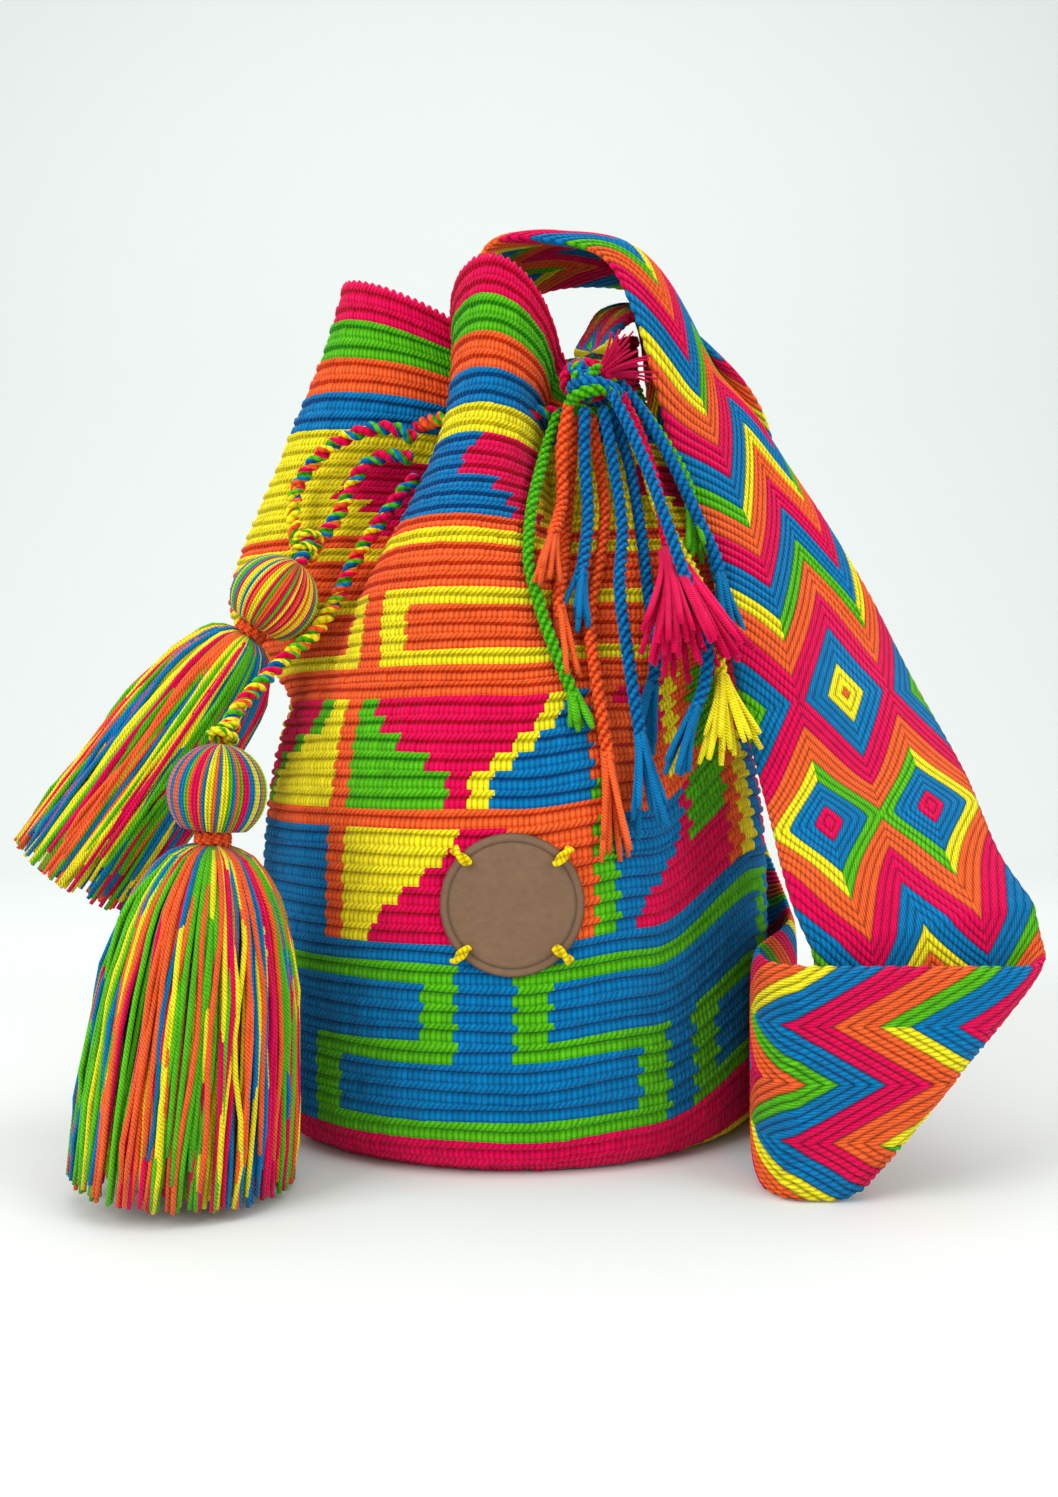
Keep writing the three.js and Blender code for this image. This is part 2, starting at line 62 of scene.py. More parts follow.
camera_data = bpy.data.cameras.new("camera")
camera_data.lens = CAMERA_LENS
camera_data.sensor_width = 36
camera_data.clip_start = 0.01
camera = bpy.data.objects.new("camera", camera_data)
camera.location = CAMERA_PLACE
camera.rotation_euler = (math.radians(90), 0, 0)
bpy.context.scene.collection.objects.link(camera)
bpy.context.scene.camera = camera
bpy.context.scene.view_settings.view_transform = "Standard"
print("camera at", CAMERA_PLACE, "lens", CAMERA_LENS)


# %% Colours are chosen as screen colours and turned into linear light
def linear(red, green, blue):
    def channel(value):
        share = value / 255
        return share / 12.92 if share <= 0.04045 else ((share + 0.055) / 1.055) ** 2.4

    return np.array([channel(red), channel(green), channel(blue)])


# Painted shade for creases: how much more saturated a crease is painted, and how much light is left
# in the deepest one.
CREASE_SHADE_RICHNESS = 0.8
CREASE_LIGHT = 0.35


def paint_crease_shade(colour, shade):
    """Painted crease shade: yarn in a crease is painted darker, and its colour more saturated."""
    shade = np.asarray(shade, float)
    richness = 1 + CREASE_SHADE_RICHNESS * np.clip(1 - shade, 0, 1)
    light = np.clip(CREASE_LIGHT + (1 - CREASE_LIGHT) * shade, 0, 1.1)
    return np.asarray(colour) ** richness * light


YARN = {
    "magenta": linear(236, 0, 84),
    "orange": linear(255, 102, 44),
    "yellow": linear(255, 238, 34),
    "green": linear(88, 190, 18),
    "blue": linear(0, 122, 184),
}
MAGENTA, ORANGE, YELLOW, GREEN, BLUE = range(5)
PALETTE = np.array(list(YARN.values()))
print("yarn colours:", ", ".join(YARN))

# %% A sweep for the stage
SWEEP_WIDTH = 5.0
SWEEP_FRONT = -2.6
SWEEP_BACK = 1.9
SWEEP_RADIUS = 0.9
SWEEP_HEIGHT = 2.6
SWEEP_STEPS = 24
SWEEP_PAPER = (0.75, 0.775, 0.755, 1)


def principled_material(name, roughness, specular):
    material = bpy.data.materials.new(name)
    material.use_nodes = True
    shader = material.node_tree.nodes["Principled BSDF"]
    shader.inputs["Roughness"].default_value = roughness
    shader.inputs["Specular IOR Level"].default_value = specular
    return material, material.node_tree, shader


def sweep_profile():
    turn = np.linspace(0, math.pi / 2, SWEEP_STEPS)
    curve_y = SWEEP_BACK - SWEEP_RADIUS + SWEEP_RADIUS * np.sin(turn)
    curve_z = SWEEP_RADIUS * (1 - np.cos(turn))
    return [(SWEEP_FRONT, 0.0)] + list(zip(curve_y, curve_z)) + [(SWEEP_BACK, SWEEP_HEIGHT)]


def build_sweep():
    places = sweep_profile()
    points = [(side * SWEEP_WIDTH / 2, y, z) for y, z in places for side in (-1, 1)]
    faces = [(2 * i, 2 * i + 1, 2 * i + 3, 2 * i + 2) for i in range(len(places) - 1)]
    mesh = bpy.data.meshes.new("sweep")
    mesh.from_pydata(points, [], faces)
    mesh.polygons.foreach_set("use_smooth", [True] * len(faces))
    sweep = bpy.data.objects.new("sweep", mesh)
    bpy.context.scene.collection.objects.link(sweep)
    material, _, shader = principled_material("sweep_paper", 0.9, 0.1)
    shader.inputs["Base Color"].default_value = SWEEP_PAPER
    mesh.materials.append(material)
    return sweep


build_sweep()


# %% Soft light from both sides and from above
BAG_CENTRE = (0, 0, 0.17)
AIR_COLOUR = (0.93, 0.96, 0.97, 1)
AIR_STRENGTH = 0.68
LIGHTS = (
    ("window_left", (-1.5, -1.3, 1.4), 1.2, 29),
    ("window_right", (1.6, -1.2, 1.1), 1.2, 14),
    ("ceiling", (0, 0.1, 2.2), 2.0, 23),
)


def add_light(name, place, size, power):
    data = bpy.data.lights.new(name, "AREA")
    data.shape = "RECTANGLE"
    data.size = data.size_y = size
    data.energy = power
    light = bpy.data.objects.new(name, data)
    light.location = place
    direction = Vector(BAG_CENTRE) - Vector(place)
    light.rotation_euler = direction.to_track_quat("-Z", "Y").to_euler()
    bpy.context.scene.collection.objects.link(light)


for light in LIGHTS:
    add_light(*light)
world = bpy.data.worlds.new("studio_air")
world.use_nodes = True
world.node_tree.nodes["Background"].inputs["Color"].default_value = AIR_COLOUR
world.node_tree.nodes["Background"].inputs["Strength"].default_value = AIR_STRENGTH
bpy.context.scene.world = world

# %% [markdown]
# ## Yarn
# Every soft piece here is plied acrylic yarn: a few plies twisted together, with
# a haze of short fibres. It could be a displaced mesh down to each ply, but that
# would cost millions of triangles. So the mesh holds rows, stitches and strands,
# and three small node groups add what is finer. `ply_twist` turns a phase that
# is stored on the mesh into the slanting plies, with painted shade in the grooves
# between them. `yarn_haze` adds the fibres, and the small differences in dye
# along the yarn. `slant_weave` colours the strands of the strap, and paints shade
# in the grooves between them.

# %% Small helpers for node trees
def new_group(name, inputs, outputs):
    group = bpy.data.node_groups.new(name, "ShaderNodeTree")
    for title, kind, value in inputs:
        socket = group.interface.new_socket(name=title, in_out="INPUT", socket_type=kind)
        if value is not None:
            socket.default_value = value
    for title, kind in outputs:
        group.interface.new_socket(name=title, in_out="OUTPUT", socket_type=kind)
    source = group.nodes.new("NodeGroupInput")
    target = group.nodes.new("NodeGroupOutput")
    return group, source.outputs, target.inputs


def math_node(tree, operation, *values):
    node = tree.nodes.new("ShaderNodeMath")
    node.operation = operation
    for slot, value in enumerate(values):
        if isinstance(value, (int, float)):
            node.inputs[slot].default_value = value
        else:
            tree.links.new(value, node.inputs[slot])
    return node.outputs[0]


def remap(tree, value, low, high):
    node = tree.nodes.new("ShaderNodeMapRange")
    tree.links.new(value, node.inputs["Value"])
    node.inputs["To Min"].default_value = low
    node.inputs["To Max"].default_value = high
    return node.outputs["Result"]


def noise_node(tree, place, scale, detail):
    node = tree.nodes.new("ShaderNodeTexNoise")
    node.inputs["Scale"].default_value = scale
    node.inputs["Detail"].default_value = detail
    tree.links.new(place, node.inputs["Vector"])
    return node


def group_node(tree, group):
    node = tree.nodes.new("ShaderNodeGroup")
    node.node_tree = group
    return node


def attribute_node(tree, title):
    node = tree.nodes.new("ShaderNodeAttribute")
    node.attribute_name = title
    return node


def scaled_colour(tree, colour, tone, target):
    node = tree.nodes.new("ShaderNodeVectorMath")
    node.operation = "SCALE"
    tree.links.new(colour, node.inputs[0])
    tree.links.new(tone, node.inputs["Scale"])
    tree.links.new(node.outputs[0], target)


def bump_node(tree, height, distance, strength, target):
    node = tree.nodes.new("ShaderNodeBump")
    node.inputs["Distance"].default_value = distance
    node.inputs["Strength"].default_value = strength
    tree.links.new(height, node.inputs["Height"])
    tree.links.new(node.outputs["Normal"], target)


# %% The groups that the yarn shares
PLY_ROUNDNESS = 0.6
STRAND_ROUNDNESS = 0.55
STRANDS_PER_CYCLE = 11
FIBRE_SCALE = 1800
DYE_SCALE = 240
MIX_FIRST, MIX_SECOND, MIX_COLOUR = 6, 7, 2


def sine_ridges(tree, phase, roundness):
    """One round ridge for each whole number of the phase."""
    wave = math_node(tree, "SINE", math_node(tree, "MULTIPLY", phase, math.pi))
    return math_node(tree, "POWER", math_node(tree, "ABSOLUTE", wave), roundness)


def build_ply_twist():
    group, given, result = new_group(
        "ply_twist",
        [("Phase", "NodeSocketFloat", 0.0)],
        [("Height", "NodeSocketFloat"), ("Tone", "NodeSocketFloat")],
    )
    round_ply = sine_ridges(group, given["Phase"], PLY_ROUNDNESS)
    group.links.new(round_ply, result["Height"])
    # Tone is painted shade: darker in the grooves between plies, a little lighter on their crowns.
    group.links.new(remap(group, round_ply, 0.55, 1.1), result["Tone"])
    return group


def build_yarn_haze():
    group, given, result = new_group(
        "yarn_haze",
        [("Place", "NodeSocketVector", None)],
        [("Height", "NodeSocketFloat"), ("Tone", "NodeSocketFloat")],
    )
    fibre = noise_node(group, given["Place"], FIBRE_SCALE, 3)
    fibre.inputs["Roughness"].default_value = 0.7
    dye = noise_node(group, given["Place"], DYE_SCALE, 2)
    group.links.new(fibre.outputs["Fac"], result["Height"])
    fibre_tone = remap(group, fibre.outputs["Fac"], 0.55, 1.45)
    dye_tone = remap(group, dye.outputs["Fac"], 0.8, 1.2)
    group.links.new(math_node(group, "MULTIPLY", fibre_tone, dye_tone), result["Tone"])
    return group


def build_slant_weave():
    """Strands in cycles: three magenta, three blue, two of the mesh's colour, three orange."""
    group, given, result = new_group(
        "slant_weave",
        [("Strand", "NodeSocketFloat", 0.0), ("Third Colour", "NodeSocketColor", (1, 1, 0, 1))],
        [("Color", "NodeSocketColor"), ("Height", "NodeSocketFloat"), ("Tone", "NodeSocketFloat")],
    )
    place = math_node(group, "DIVIDE", given["Strand"], STRANDS_PER_CYCLE)
    cycle = math_node(group, "FRACT", place)
    ramp = group.nodes.new("ShaderNodeValToRGB")
    ramp.color_ramp.interpolation = "CONSTANT"
    stops = ((0, MAGENTA, 1), (3, BLUE, 1), (6, YELLOW, 0), (8, ORANGE, 1))
    while len(ramp.color_ramp.elements) < len(stops):
        ramp.color_ramp.elements.new(0.9)
    for element, (strand, colour, solid) in zip(ramp.color_ramp.elements, stops):
        element.position = strand / STRANDS_PER_CYCLE
        element.color = (*PALETTE[colour], solid)
    group.links.new(cycle, ramp.inputs["Fac"])
    mix = group.nodes.new("ShaderNodeMix")
    mix.data_type = "RGBA"
    group.links.new(ramp.outputs["Alpha"], mix.inputs["Factor"])
    group.links.new(given["Third Colour"], mix.inputs[MIX_FIRST])
    group.links.new(ramp.outputs["Color"], mix.inputs[MIX_SECOND])
    group.links.new(mix.outputs[MIX_COLOUR], result["Color"])
    ridge = sine_ridges(group, given["Strand"], STRAND_ROUNDNESS)
    group.links.new(ridge, result["Height"])
    # Tone is painted shade: darker in the grooves between strands, a little lighter on their
    # crowns.
    group.links.new(remap(group, ridge, 0.42, 1.08), result["Tone"])
    return group


PLY_TWIST = build_ply_twist()
YARN_HAZE = build_yarn_haze()
SLANT_WEAVE = build_slant_weave()
print("shared yarn groups:", PLY_TWIST.name, YARN_HAZE.name, SLANT_WEAVE.name)


# %% One yarn material for each kind of piece, coloured by the mesh
YARN_ROUGHNESS = 0.88
YARN_SPECULAR = 0.06
SHEEN_ROUGHNESS = 0.45
FIBRE_HEIGHT = 0.9
STRAND_HEIGHT = 2.2


def yarn_material(name, relief, sheen=0.08, weave=None):
    material, tree, shader = principled_material(name, YARN_ROUGHNESS, YARN_SPECULAR)
    shader.inputs["Sheen Weight"].default_value = sheen
    shader.inputs["Sheen Roughness"].default_value = SHEEN_ROUGHNESS
    plies = group_node(tree, PLY_TWIST)
    tree.links.new(attribute_node(tree, "twist").outputs["Fac"], plies.inputs["Phase"])
    haze = group_node(tree, YARN_HAZE)
    place = tree.nodes.new("ShaderNodeTexCoord")
    tree.links.new(place.outputs["Object"], haze.inputs["Place"])
    # The tone is the painted shade of the ply grooves times yarn_haze's fibre and dye tone; a weave
    # adds the painted shade between its strands.
    tone = math_node(tree, "MULTIPLY", plies.outputs["Tone"], haze.outputs["Tone"])
    fibre = math_node(tree, "MULTIPLY", haze.outputs["Height"], FIBRE_HEIGHT)
    height = math_node(tree, "ADD", plies.outputs["Height"], fibre)
    colour = attribute_node(tree, "yarn").outputs["Color"]
    if weave:
        strands = group_node(tree, weave)
        tree.links.new(colour, strands.inputs["Third Colour"])
        tree.links.new(attribute_node(tree, "strand").outputs["Fac"], strands.inputs["Strand"])
        colour = strands.outputs["Color"]
        tone = math_node(tree, "MULTIPLY", tone, strands.outputs["Tone"])
        ridge = math_node(tree, "MULTIPLY", strands.outputs["Height"], STRAND_HEIGHT)
        height = math_node(tree, "ADD", height, ridge)
    scaled_colour(tree, colour, tone, shader.inputs["Base Color"])
    bump_node(tree, height, relief, 0.9, shader.inputs["Normal"])
    return material


CROCHET_YARN = yarn_material("crochet_yarn", relief=0.0007)
STRAP_YARN = yarn_material("strap_yarn", relief=0.0006, weave=SLANT_WEAVE)
CORD_YARN = yarn_material("cord_yarn", relief=0.0004)
TASSEL_YARN = yarn_material("tassel_yarn", relief=0.0004, sheen=0.12)
print("yarn materials:", [m.name for m in bpy.data.materials if m.name.endswith("_yarn")])

# %% [markdown]
# ## Rings into meshes
# The wall, the strap, the cords and the tassels are all rings of points laid one
# after the other, so one function skins them all. It stores two things on the
# corners of the faces: the yarn's colour, with any painted shade already in it,
# and the phase of its twist. A corner keeps a colour edge crisp, where a vertex
# would blur it into the next stitch.

# %% Skin rings of points
def signed_volume(points, quads):
    centred = points - points.mean(0)
    a, b, c, d = (centred[quads[:, corner]] for corner in range(4))
    halves = np.einsum("ij,ij->i", a, np.cross(b, c)) + np.einsum("ij,ij->i", a, np.cross(c, d))
    return halves.sum() / 6


def ring_quads(rings, wrap):
    count, around = rings.shape[:2]
    rows = count if wrap else count - 1
    low = np.arange(rows)[:, None]
    here = np.arange(around)[None, :]
    high = (low + 1) % count
    there = (here + 1) % around
    corners = [(low, here), (low, there), (high, there), (high, here)]
    return np.stack([ring * around + column for ring, column in corners], -1)


def skin_rings(rings, colours, twist, wrap=False, twist_top=None):
    """Points, faces and corner values of one closed skin.

    colours is given by face, twist by ring and column.
    """
    count, around = rings.shape[:2]
    points = rings.reshape(-1, 3)
    quads = ring_quads(rings, wrap)
    rows = len(quads)
    low_twist = twist[:rows]
    high_twist = twist[1 : rows + 1] if twist_top is None else twist_top[:rows]
    sides = [low_twist[:, :-1], low_twist[:, 1:], high_twist[:, 1:], high_twist[:, :-1]]
    corners = np.stack(sides, -1).reshape(-1, 4)
    quads = quads.reshape(-1, 4)
    flip = signed_volume(points, quads) < 0
    if flip:
        quads = quads[:, ::-1]
        corners = corners[:, ::-1]
    faces = [quads]
    corner_values = [corners.reshape(-1)]
    face_colours = [np.repeat(colours.reshape(-1, 3), 4, axis=0)]
    if not wrap:
        here = np.arange(around)
        there = (here + 1) % around
        for ring, pole, outward in ((0, len(points), True), (count - 1, len(points) + 1, False)):
            first, second = (there, here) if outward != flip else (here, there)
            rim = ring * around
            faces.append(np.stack([np.full(around, pole), rim + first, rim + second], -1))
            corner_values.append(np.repeat(twist[ring, :-1], 3))
            face_colours.append(np.repeat(colours[min(ring, rows - 1)], 3, axis=0))
        points = np.vstack([points, rings[0].mean(0), rings[-1].mean(0)])
    return points, faces, np.concatenate(face_colours), np.concatenate(corner_values)


def add_piece(name, skins, material, stands_for=None, extra=None):
    """One object from one or more skins. extra holds more numbers for the corners."""
    points = []
    faces = []
    colours = []
    twists = []
    start = 0
    for skin_points, skin_faces, skin_colours, skin_twist in skins:
        points.append(skin_points)
        for block in skin_faces:
            faces.extend((block + start).tolist())
        colours.append(skin_colours)
        twists.append(skin_twist)
        start += len(skin_points)
    mesh = bpy.data.meshes.new(name)
    mesh.from_pydata(np.concatenate(points).tolist(), [], faces)
    mesh.polygons.foreach_set("use_smooth", np.ones(len(faces), bool))
    colour = np.concatenate(colours)
    yarn = mesh.attributes.new("yarn", "FLOAT_COLOR", "CORNER")
    yarn.data.foreach_set("color", np.column_stack([colour, np.ones(len(colour))]).ravel())
    twist = mesh.attributes.new("twist", "FLOAT", "CORNER")
    twist.data.foreach_set("value", np.concatenate(twists).astype(np.float32))
    for title, values in (extra or {}).items():
        numbers = mesh.attributes.new(title, "FLOAT", "CORNER")
        numbers.data.foreach_set("value", values.astype(np.float32))
    mesh.materials.append(material)
    piece = bpy.data.objects.new(name, mesh)
    bpy.context.scene.collection.objects.link(piece)
    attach(piece, "root")
    if stands_for:
        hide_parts(stands_for)
    triangles = sum(len(face) - 2 for face in faces)
    print(f"{name}: {triangles} triangles")
    return piece


# %% [markdown]
# ## Smooth curves
# Cords, folds and the strap all follow centripetal Catmull-Rom curves. Such a
# curve passes through its points and doesn't loop at a sharp turn, which is how
# a cord behaves when it is laid by hand.

# %% Curves through points
def catmull(points, time):
    """Points (count, ..., 3) and times from 0 to 1, each of shape (steps,) or (steps, ...)."""
    points = np.asarray(points, float)
    count = len(points)
    before = 2 * points[:1] - points[1:2]
    after = 2 * points[-1:] - points[-2:-1]
    full = np.concatenate([before, points, after])
    place = np.clip(np.asarray(time, float), 0, 1) * (count - 1)
    index = np.minimum(place.astype(int), count - 2)
    share = (place - index)[..., None]
    if points.ndim == 3 and np.ndim(time) == 2:
        columns = np.arange(points.shape[1])[None, :]
        p0, p1, p2, p3 = (full[index + step, columns] for step in range(4))
    else:
        p0, p1, p2, p3 = (full[index + step] for step in range(4))

    def spacing(a, b):
        return np.maximum(np.linalg.norm(b - a, axis=-1, keepdims=True), 1e-9) ** 0.5

    d0, d1, d2 = spacing(p0, p1), spacing(p1, p2), spacing(p2, p3)
    start = ((p1 - p0) / d0 - (p2 - p0) / (d0 + d1) + (p2 - p1) / d1) * d1
    end = ((p2 - p1) / d1 - (p3 - p1) / (d1 + d2) + (p3 - p2) / d2) * d1
    cubic = 2 * (p1 - p2) + start + end
    square = 3 * (p2 - p1) - 2 * start - end
    return ((cubic * share + square) * share + start) * share + p1


def lengths_along(line):
    steps = np.linalg.norm(np.diff(line, axis=0), axis=-1)
    return np.concatenate([[0], np.cumsum(steps)])


def even_line(points, count):
    """count points, evenly spaced along a smooth curve through the given ones."""
    dense = catmull(points, np.linspace(0, 1, 600))
    reach = lengths_along(dense)
    wanted = np.linspace(0, reach[-1], count)
    return np.column_stack([np.interp(wanted, reach, dense[:, axis]) for axis in range(3)])


def unit(vectors):
    return vectors / np.maximum(np.linalg.norm(vectors, axis=-1, keepdims=True), 1e-12)


def smooth_ramp(value, end):
    share = np.clip(value / end, 0, 1)
    return share * share * (3 - 2 * share)


def spokes(angle, side, up):
    """Unit steps out from an axis, at an angle from side towards up."""
    return np.cos(angle)[..., None] * side + np.sin(angle)[..., None] * up


def shades(colour, low=0.9, high=1.05):
    return [colour, colour * low, colour * high]


def carried_frames(line):
    """Two directions square to a line, carried along it without twisting."""
    ahead = unit(np.gradient(line, axis=0))
    side = np.cross(ahead[0], (0, 0, 1))
    if np.linalg.norm(side) < 0.1:
        side = np.cross(ahead[0], (0, 1, 0))
    sides = []
    for direction in ahead:
        side = side - direction * side.dot(direction)
        side = side / np.linalg.norm(side)
        sides.append(side)
    sides = np.array(sides)
    return sides, np.cross(ahead, sides)


# %% [markdown]
# ## The drawstring
# The drawstring is several colours of yarn twisted into one cord. Each of its
# plies could be a helix of its own, but their hidden sides would lie inside one
# another. One tube with a lobed section that turns along the cord has the same
# outside and no inside. A ply that mixes several yarns changes its colour on the
# way, in an order that is shuffled once.

# %% A twisted cord
CORD_SIDES = 30
PLY_OFFSET = 0.8
END_SIZE = 0.7
CREASE_SHADE = 0.45
YARNS_ACROSS = 2.2
YARN_RUN = 0.85
LOBE_STRIDE = 61
STROKE_LEAN = 0.9
YARN_ORDER = np.random.default_rng(5).permutation(np.repeat(np.arange(5), 80))


def lobed_radius(angle, lobes, radius):
    """The outline of a ring of round plies that touch, by angle."""
    half = math.pi / lobes
    nearest = (angle + half) % (2 * half) - half
    offset = radius / (1 + math.sin(half)) * PLY_OFFSET
    ply = radius - offset
    bulge = np.maximum(ply**2 - (offset * np.sin(nearest)) ** 2, 0)
    return offset * np.cos(nearest) + np.sqrt(bulge)


def twisted_cord(route, diameter, pitch, colours, steps, strokes=2.2, mixed=None):
    """A skin for one cord, and its centres.

    It has one lobe for each colour, or, when mixed, that many lobes of many yarns.
    """
    line = even_line(route, steps)
    side, up = carried_frames(line)
    run = lengths_along(line)
    lobes = mixed or len(colours)
    angle = np.linspace(0, 2 * math.pi, CORD_SIDES, endpoint=False)[None, :]
    where = angle + (2 * math.pi * run / pitch)[:, None]
    ends = np.ones(steps)
    ends[0] = ends[-1] = END_SIZE
    radius = lobed_radius(angle, lobes, diameter / 2) * ends[:, None]
    out = spokes(where, side[:, None, :], up[:, None, :])
    rings = line[:, None, :] + radius[..., None] * out
    half = math.pi / lobes
    middle = angle[0] + math.pi / CORD_SIDES
    lobe = ((middle + half) // (2 * half)).astype(int) % lobes
    depth = lobed_radius(middle, lobes, 1.0)
    height = (depth - depth.min()) / max(depth.max() - depth.min(), 1e-6)
    # Painted shade: every cord's colour is painted darker in the grooves between its lobes, down to
    # CREASE_SHADE.
    crease = CREASE_SHADE + (1 - CREASE_SHADE) * height
    if mixed:
        across = ((middle + half) % (2 * half)) / (2 * half)
        yarn = np.floor(across[None, :] * YARNS_ACROSS - run[:-1, None] / (YARN_RUN * pitch))
        order = YARN_ORDER[yarn.astype(int) + LOBE_STRIDE * lobe[None, :]]
        face_colours = paint_crease_shade(np.asarray(colours)[order], crease[None, :, None])
    else:
        dye = paint_crease_shade(np.asarray(colours)[lobe], crease[:, None])
        face_colours = np.broadcast_to(dye, (steps - 1, CORD_SIDES, 3))
    lean = np.linspace(0, lobes, CORD_SIDES + 1)[None, :] * STROKE_LEAN
    return skin_rings(rings, face_colours, run[:, None] * 1000 / strokes + lean), line


# %% The stretch in the wall, the two loops and the tail
DRAWSTRING_DIAMETER = 0.0064
DRAWSTRING_PITCH = 0.0115
DRAWSTRING_COLOURS = PALETTE[[BLUE, YELLOW, MAGENTA, GREEN, ORANGE]]
GATHER_RADIUS = 0.047
GATHER_HEIGHT = 0.289

DRAWSTRING_PLIES = 2
TAIL_STEPS = 190
LOOP_STEPS = 120
GATHER_STEPS = 260

# Routes are in millimetres, from the end that leaves the wall
DRAWSTRING_ROUTES = {
    "drawstring_loop_outer": [
        (-41, -33, 281), (-49, -35, 285), (-59, -35, 285), (-69, -34, 282), (-78, -33, 277),
        (-85, -32, 270), (-90, -33, 261), (-91, -36, 252), (-90, -40, 243), (-88, -43, 237),
    ],
    "drawstring_loop_inner": [
        (-42, -34, 273), (-49, -34, 274), (-57, -34, 273), (-64, -35, 267), (-68, -36, 259),
        (-72, -39, 249), (-77, -42, 241), (-81, -45, 235),
    ],
    "drawstring_tail": [
        (-40, -37, 265), (-45, -39, 259), (-50, -41, 252), (-56, -43, 243), (-62, -46, 233),
        (-67, -50, 222), (-72, -54, 210), (-78, -63, 198), (-86, -71, 189), (-93, -83, 179),
        (-99, -98, 168), (-102, -111, 158),
    ],
}


def metres(route):
    return np.array(route) / 1000


def drawstring_cord(name, route, steps):
    skin, line = twisted_cord(
        route, DRAWSTRING_DIAMETER, DRAWSTRING_PITCH, DRAWSTRING_COLOURS, steps,
        mixed=DRAWSTRING_PLIES,
    )
    return add_piece(f"{name}_yarn", [skin], CORD_YARN, name), line


def build_drawstring():
    cords = {}
    for name, route in DRAWSTRING_ROUTES.items():
        steps = TAIL_STEPS if name == "drawstring_tail" else LOOP_STEPS
        cords[name] = drawstring_cord(name, metres(route), steps)
    angle = np.radians(np.arange(0, 360, 9))
    ring = [
        (GATHER_RADIUS * math.sin(a), -GATHER_RADIUS * math.cos(a), GATHER_HEIGHT) for a in angle
    ]
    drawstring_cord("drawstring_gather", ring + ring[:1], GATHER_STEPS)
    return cords


DRAWSTRING = build_drawstring()
for name, (_, line) in DRAWSTRING.items():
    print(name, f"{lengths_along(line)[-1]:.3f} m")

# %% [markdown]
# ## The fringe
# Below the knot the strap's warp ends are left long. Each is a bundle of yarn of
# one colour, twisted again into a cord, whose last centimetres come undone. The
# undone end is a brush of single strands that spread and droop.

# %% Fringe cords
FRINGE_DIAMETER = 0.0052
FRINGE_PITCH = 0.012
FRINGE_STEPS = 70
FRINGE_SHADES = (0.93, 1.04)
FRINGE_ROUTES = {
    "green": [
        (18, -50, 288), (14, -53, 276), (10, -62, 260), (7, -71, 245), (6, -79, 231),
        (6, -84, 222), (9, -88, 210), (12, -91, 199), (18, -95, 183), (24, -99, 168),
    ],
    "orange_short": [(22, -58, 289), (19, -59, 272), (19, -61, 251), (15, -79, 233)],
    "orange_middle": [
        (24, -50, 287), (23, -50, 266), (21, -57, 242), (19, -74, 221), (17, -84, 210),
        (18, -88, 200),
    ],
    "blue_short": [
        (28, -60, 287), (28, -60, 267), (29, -66, 243), (27, -76, 226), (25, -82, 215),
    ],
    "orange_long": [
        (31, -50, 287), (34, -51, 268), (36, -60, 245), (33, -71, 224), (29, -81, 203),
        (31, -95, 175), (35, -102, 146),
    ],
    "blue_long": [
        (35, -59, 288), (39, -61, 266), (42, -71, 238), (40, -84, 214), (42, -93, 190),
        (47, -101, 152),
    ],
    "blue_middle": [
        (39, -50, 290), (46, -55, 265), (50, -66, 234), (52, -77, 207), (54, -82, 189),
        (51, -86, 172),
    ],
    "magenta": [(42, -57, 294), (52, -60, 270), (58, -69, 241), (61, -79, 214), (69, -80, 194)],
    "green_right": [
        (38, -45, 302), (46, -45, 296), (54, -48, 286), (62, -53, 272), (68, -59, 258),
        (70, -63, 244),
    ],
    "blue_right": [
        (42, -50, 300), (50, -54, 289), (58, -60, 274), (65, -65, 258), (72, -68, 241),
        (78, -71, 226), (80, -74, 214),
    ],
    "blue_loop": [
        (38, -65, 292), (45, -71, 276), (52, -79, 256), (58, -87, 235), (64, -93, 214),
        (70, -98, 196), (70, -100, 178), (64, -104, 163),
    ],
    "yellow": [
        (47, -48, 288), (52, -50, 270), (57, -58, 248), (65, -67, 230), (71, -77, 214),
        (75, -86, 199), (76, -92, 186), (77, -97, 174),
    ],
}
FRINGE_FOLLOWS = {name: name.split("_")[0] for name in FRINGE_ROUTES}

# %% Undone ends and single strands
STRAND_SIDES = 6
STRAND_LEAN = 4
STRAND_TIP = 0.8
random_yarn = np.random.default_rng(27)


def strand_skins(lines, radius, colours, strokes):
    """One thin tube for each line of points."""
    skins = []
    angle = np.linspace(0, 2 * math.pi, STRAND_SIDES, endpoint=False)[None, :]
    lean = np.linspace(0, STRAND_LEAN, STRAND_SIDES + 1)[None, :]
    for line, colour in zip(lines, colours):
        side, up = carried_frames(line)
        size = np.full(len(line), radius)
        size[-1] *= STRAND_TIP
        around = spokes(angle, side[:, None, :], up[:, None, :])
        rings = line[:, None, :] + size[:, None, None] * around
        dye = np.broadcast_to(colour, (len(line) - 1, STRAND_SIDES, 3))
        phase = lengths_along(line)[:, None] * 1000 / strokes + lean
        skins.append(skin_rings(rings, dye, phase))
    return skins


def axis_frame(axis):
    ahead = unit(np.array(axis, float))
    side = unit(np.cross(ahead, (0, 1.0, 0)))
    return ahead, side, np.cross(ahead, side)


def small_ring(centre, axis, radius):
    _, side, up = axis_frame(axis)
    return np.array(centre) + radius * spokes(np.linspace(0, 2 * math.pi, 25), side, up)


BRUSH_ROOT = 0.006
BRUSH_DROOP = 0.22
BRUSH_BEND = 0.10


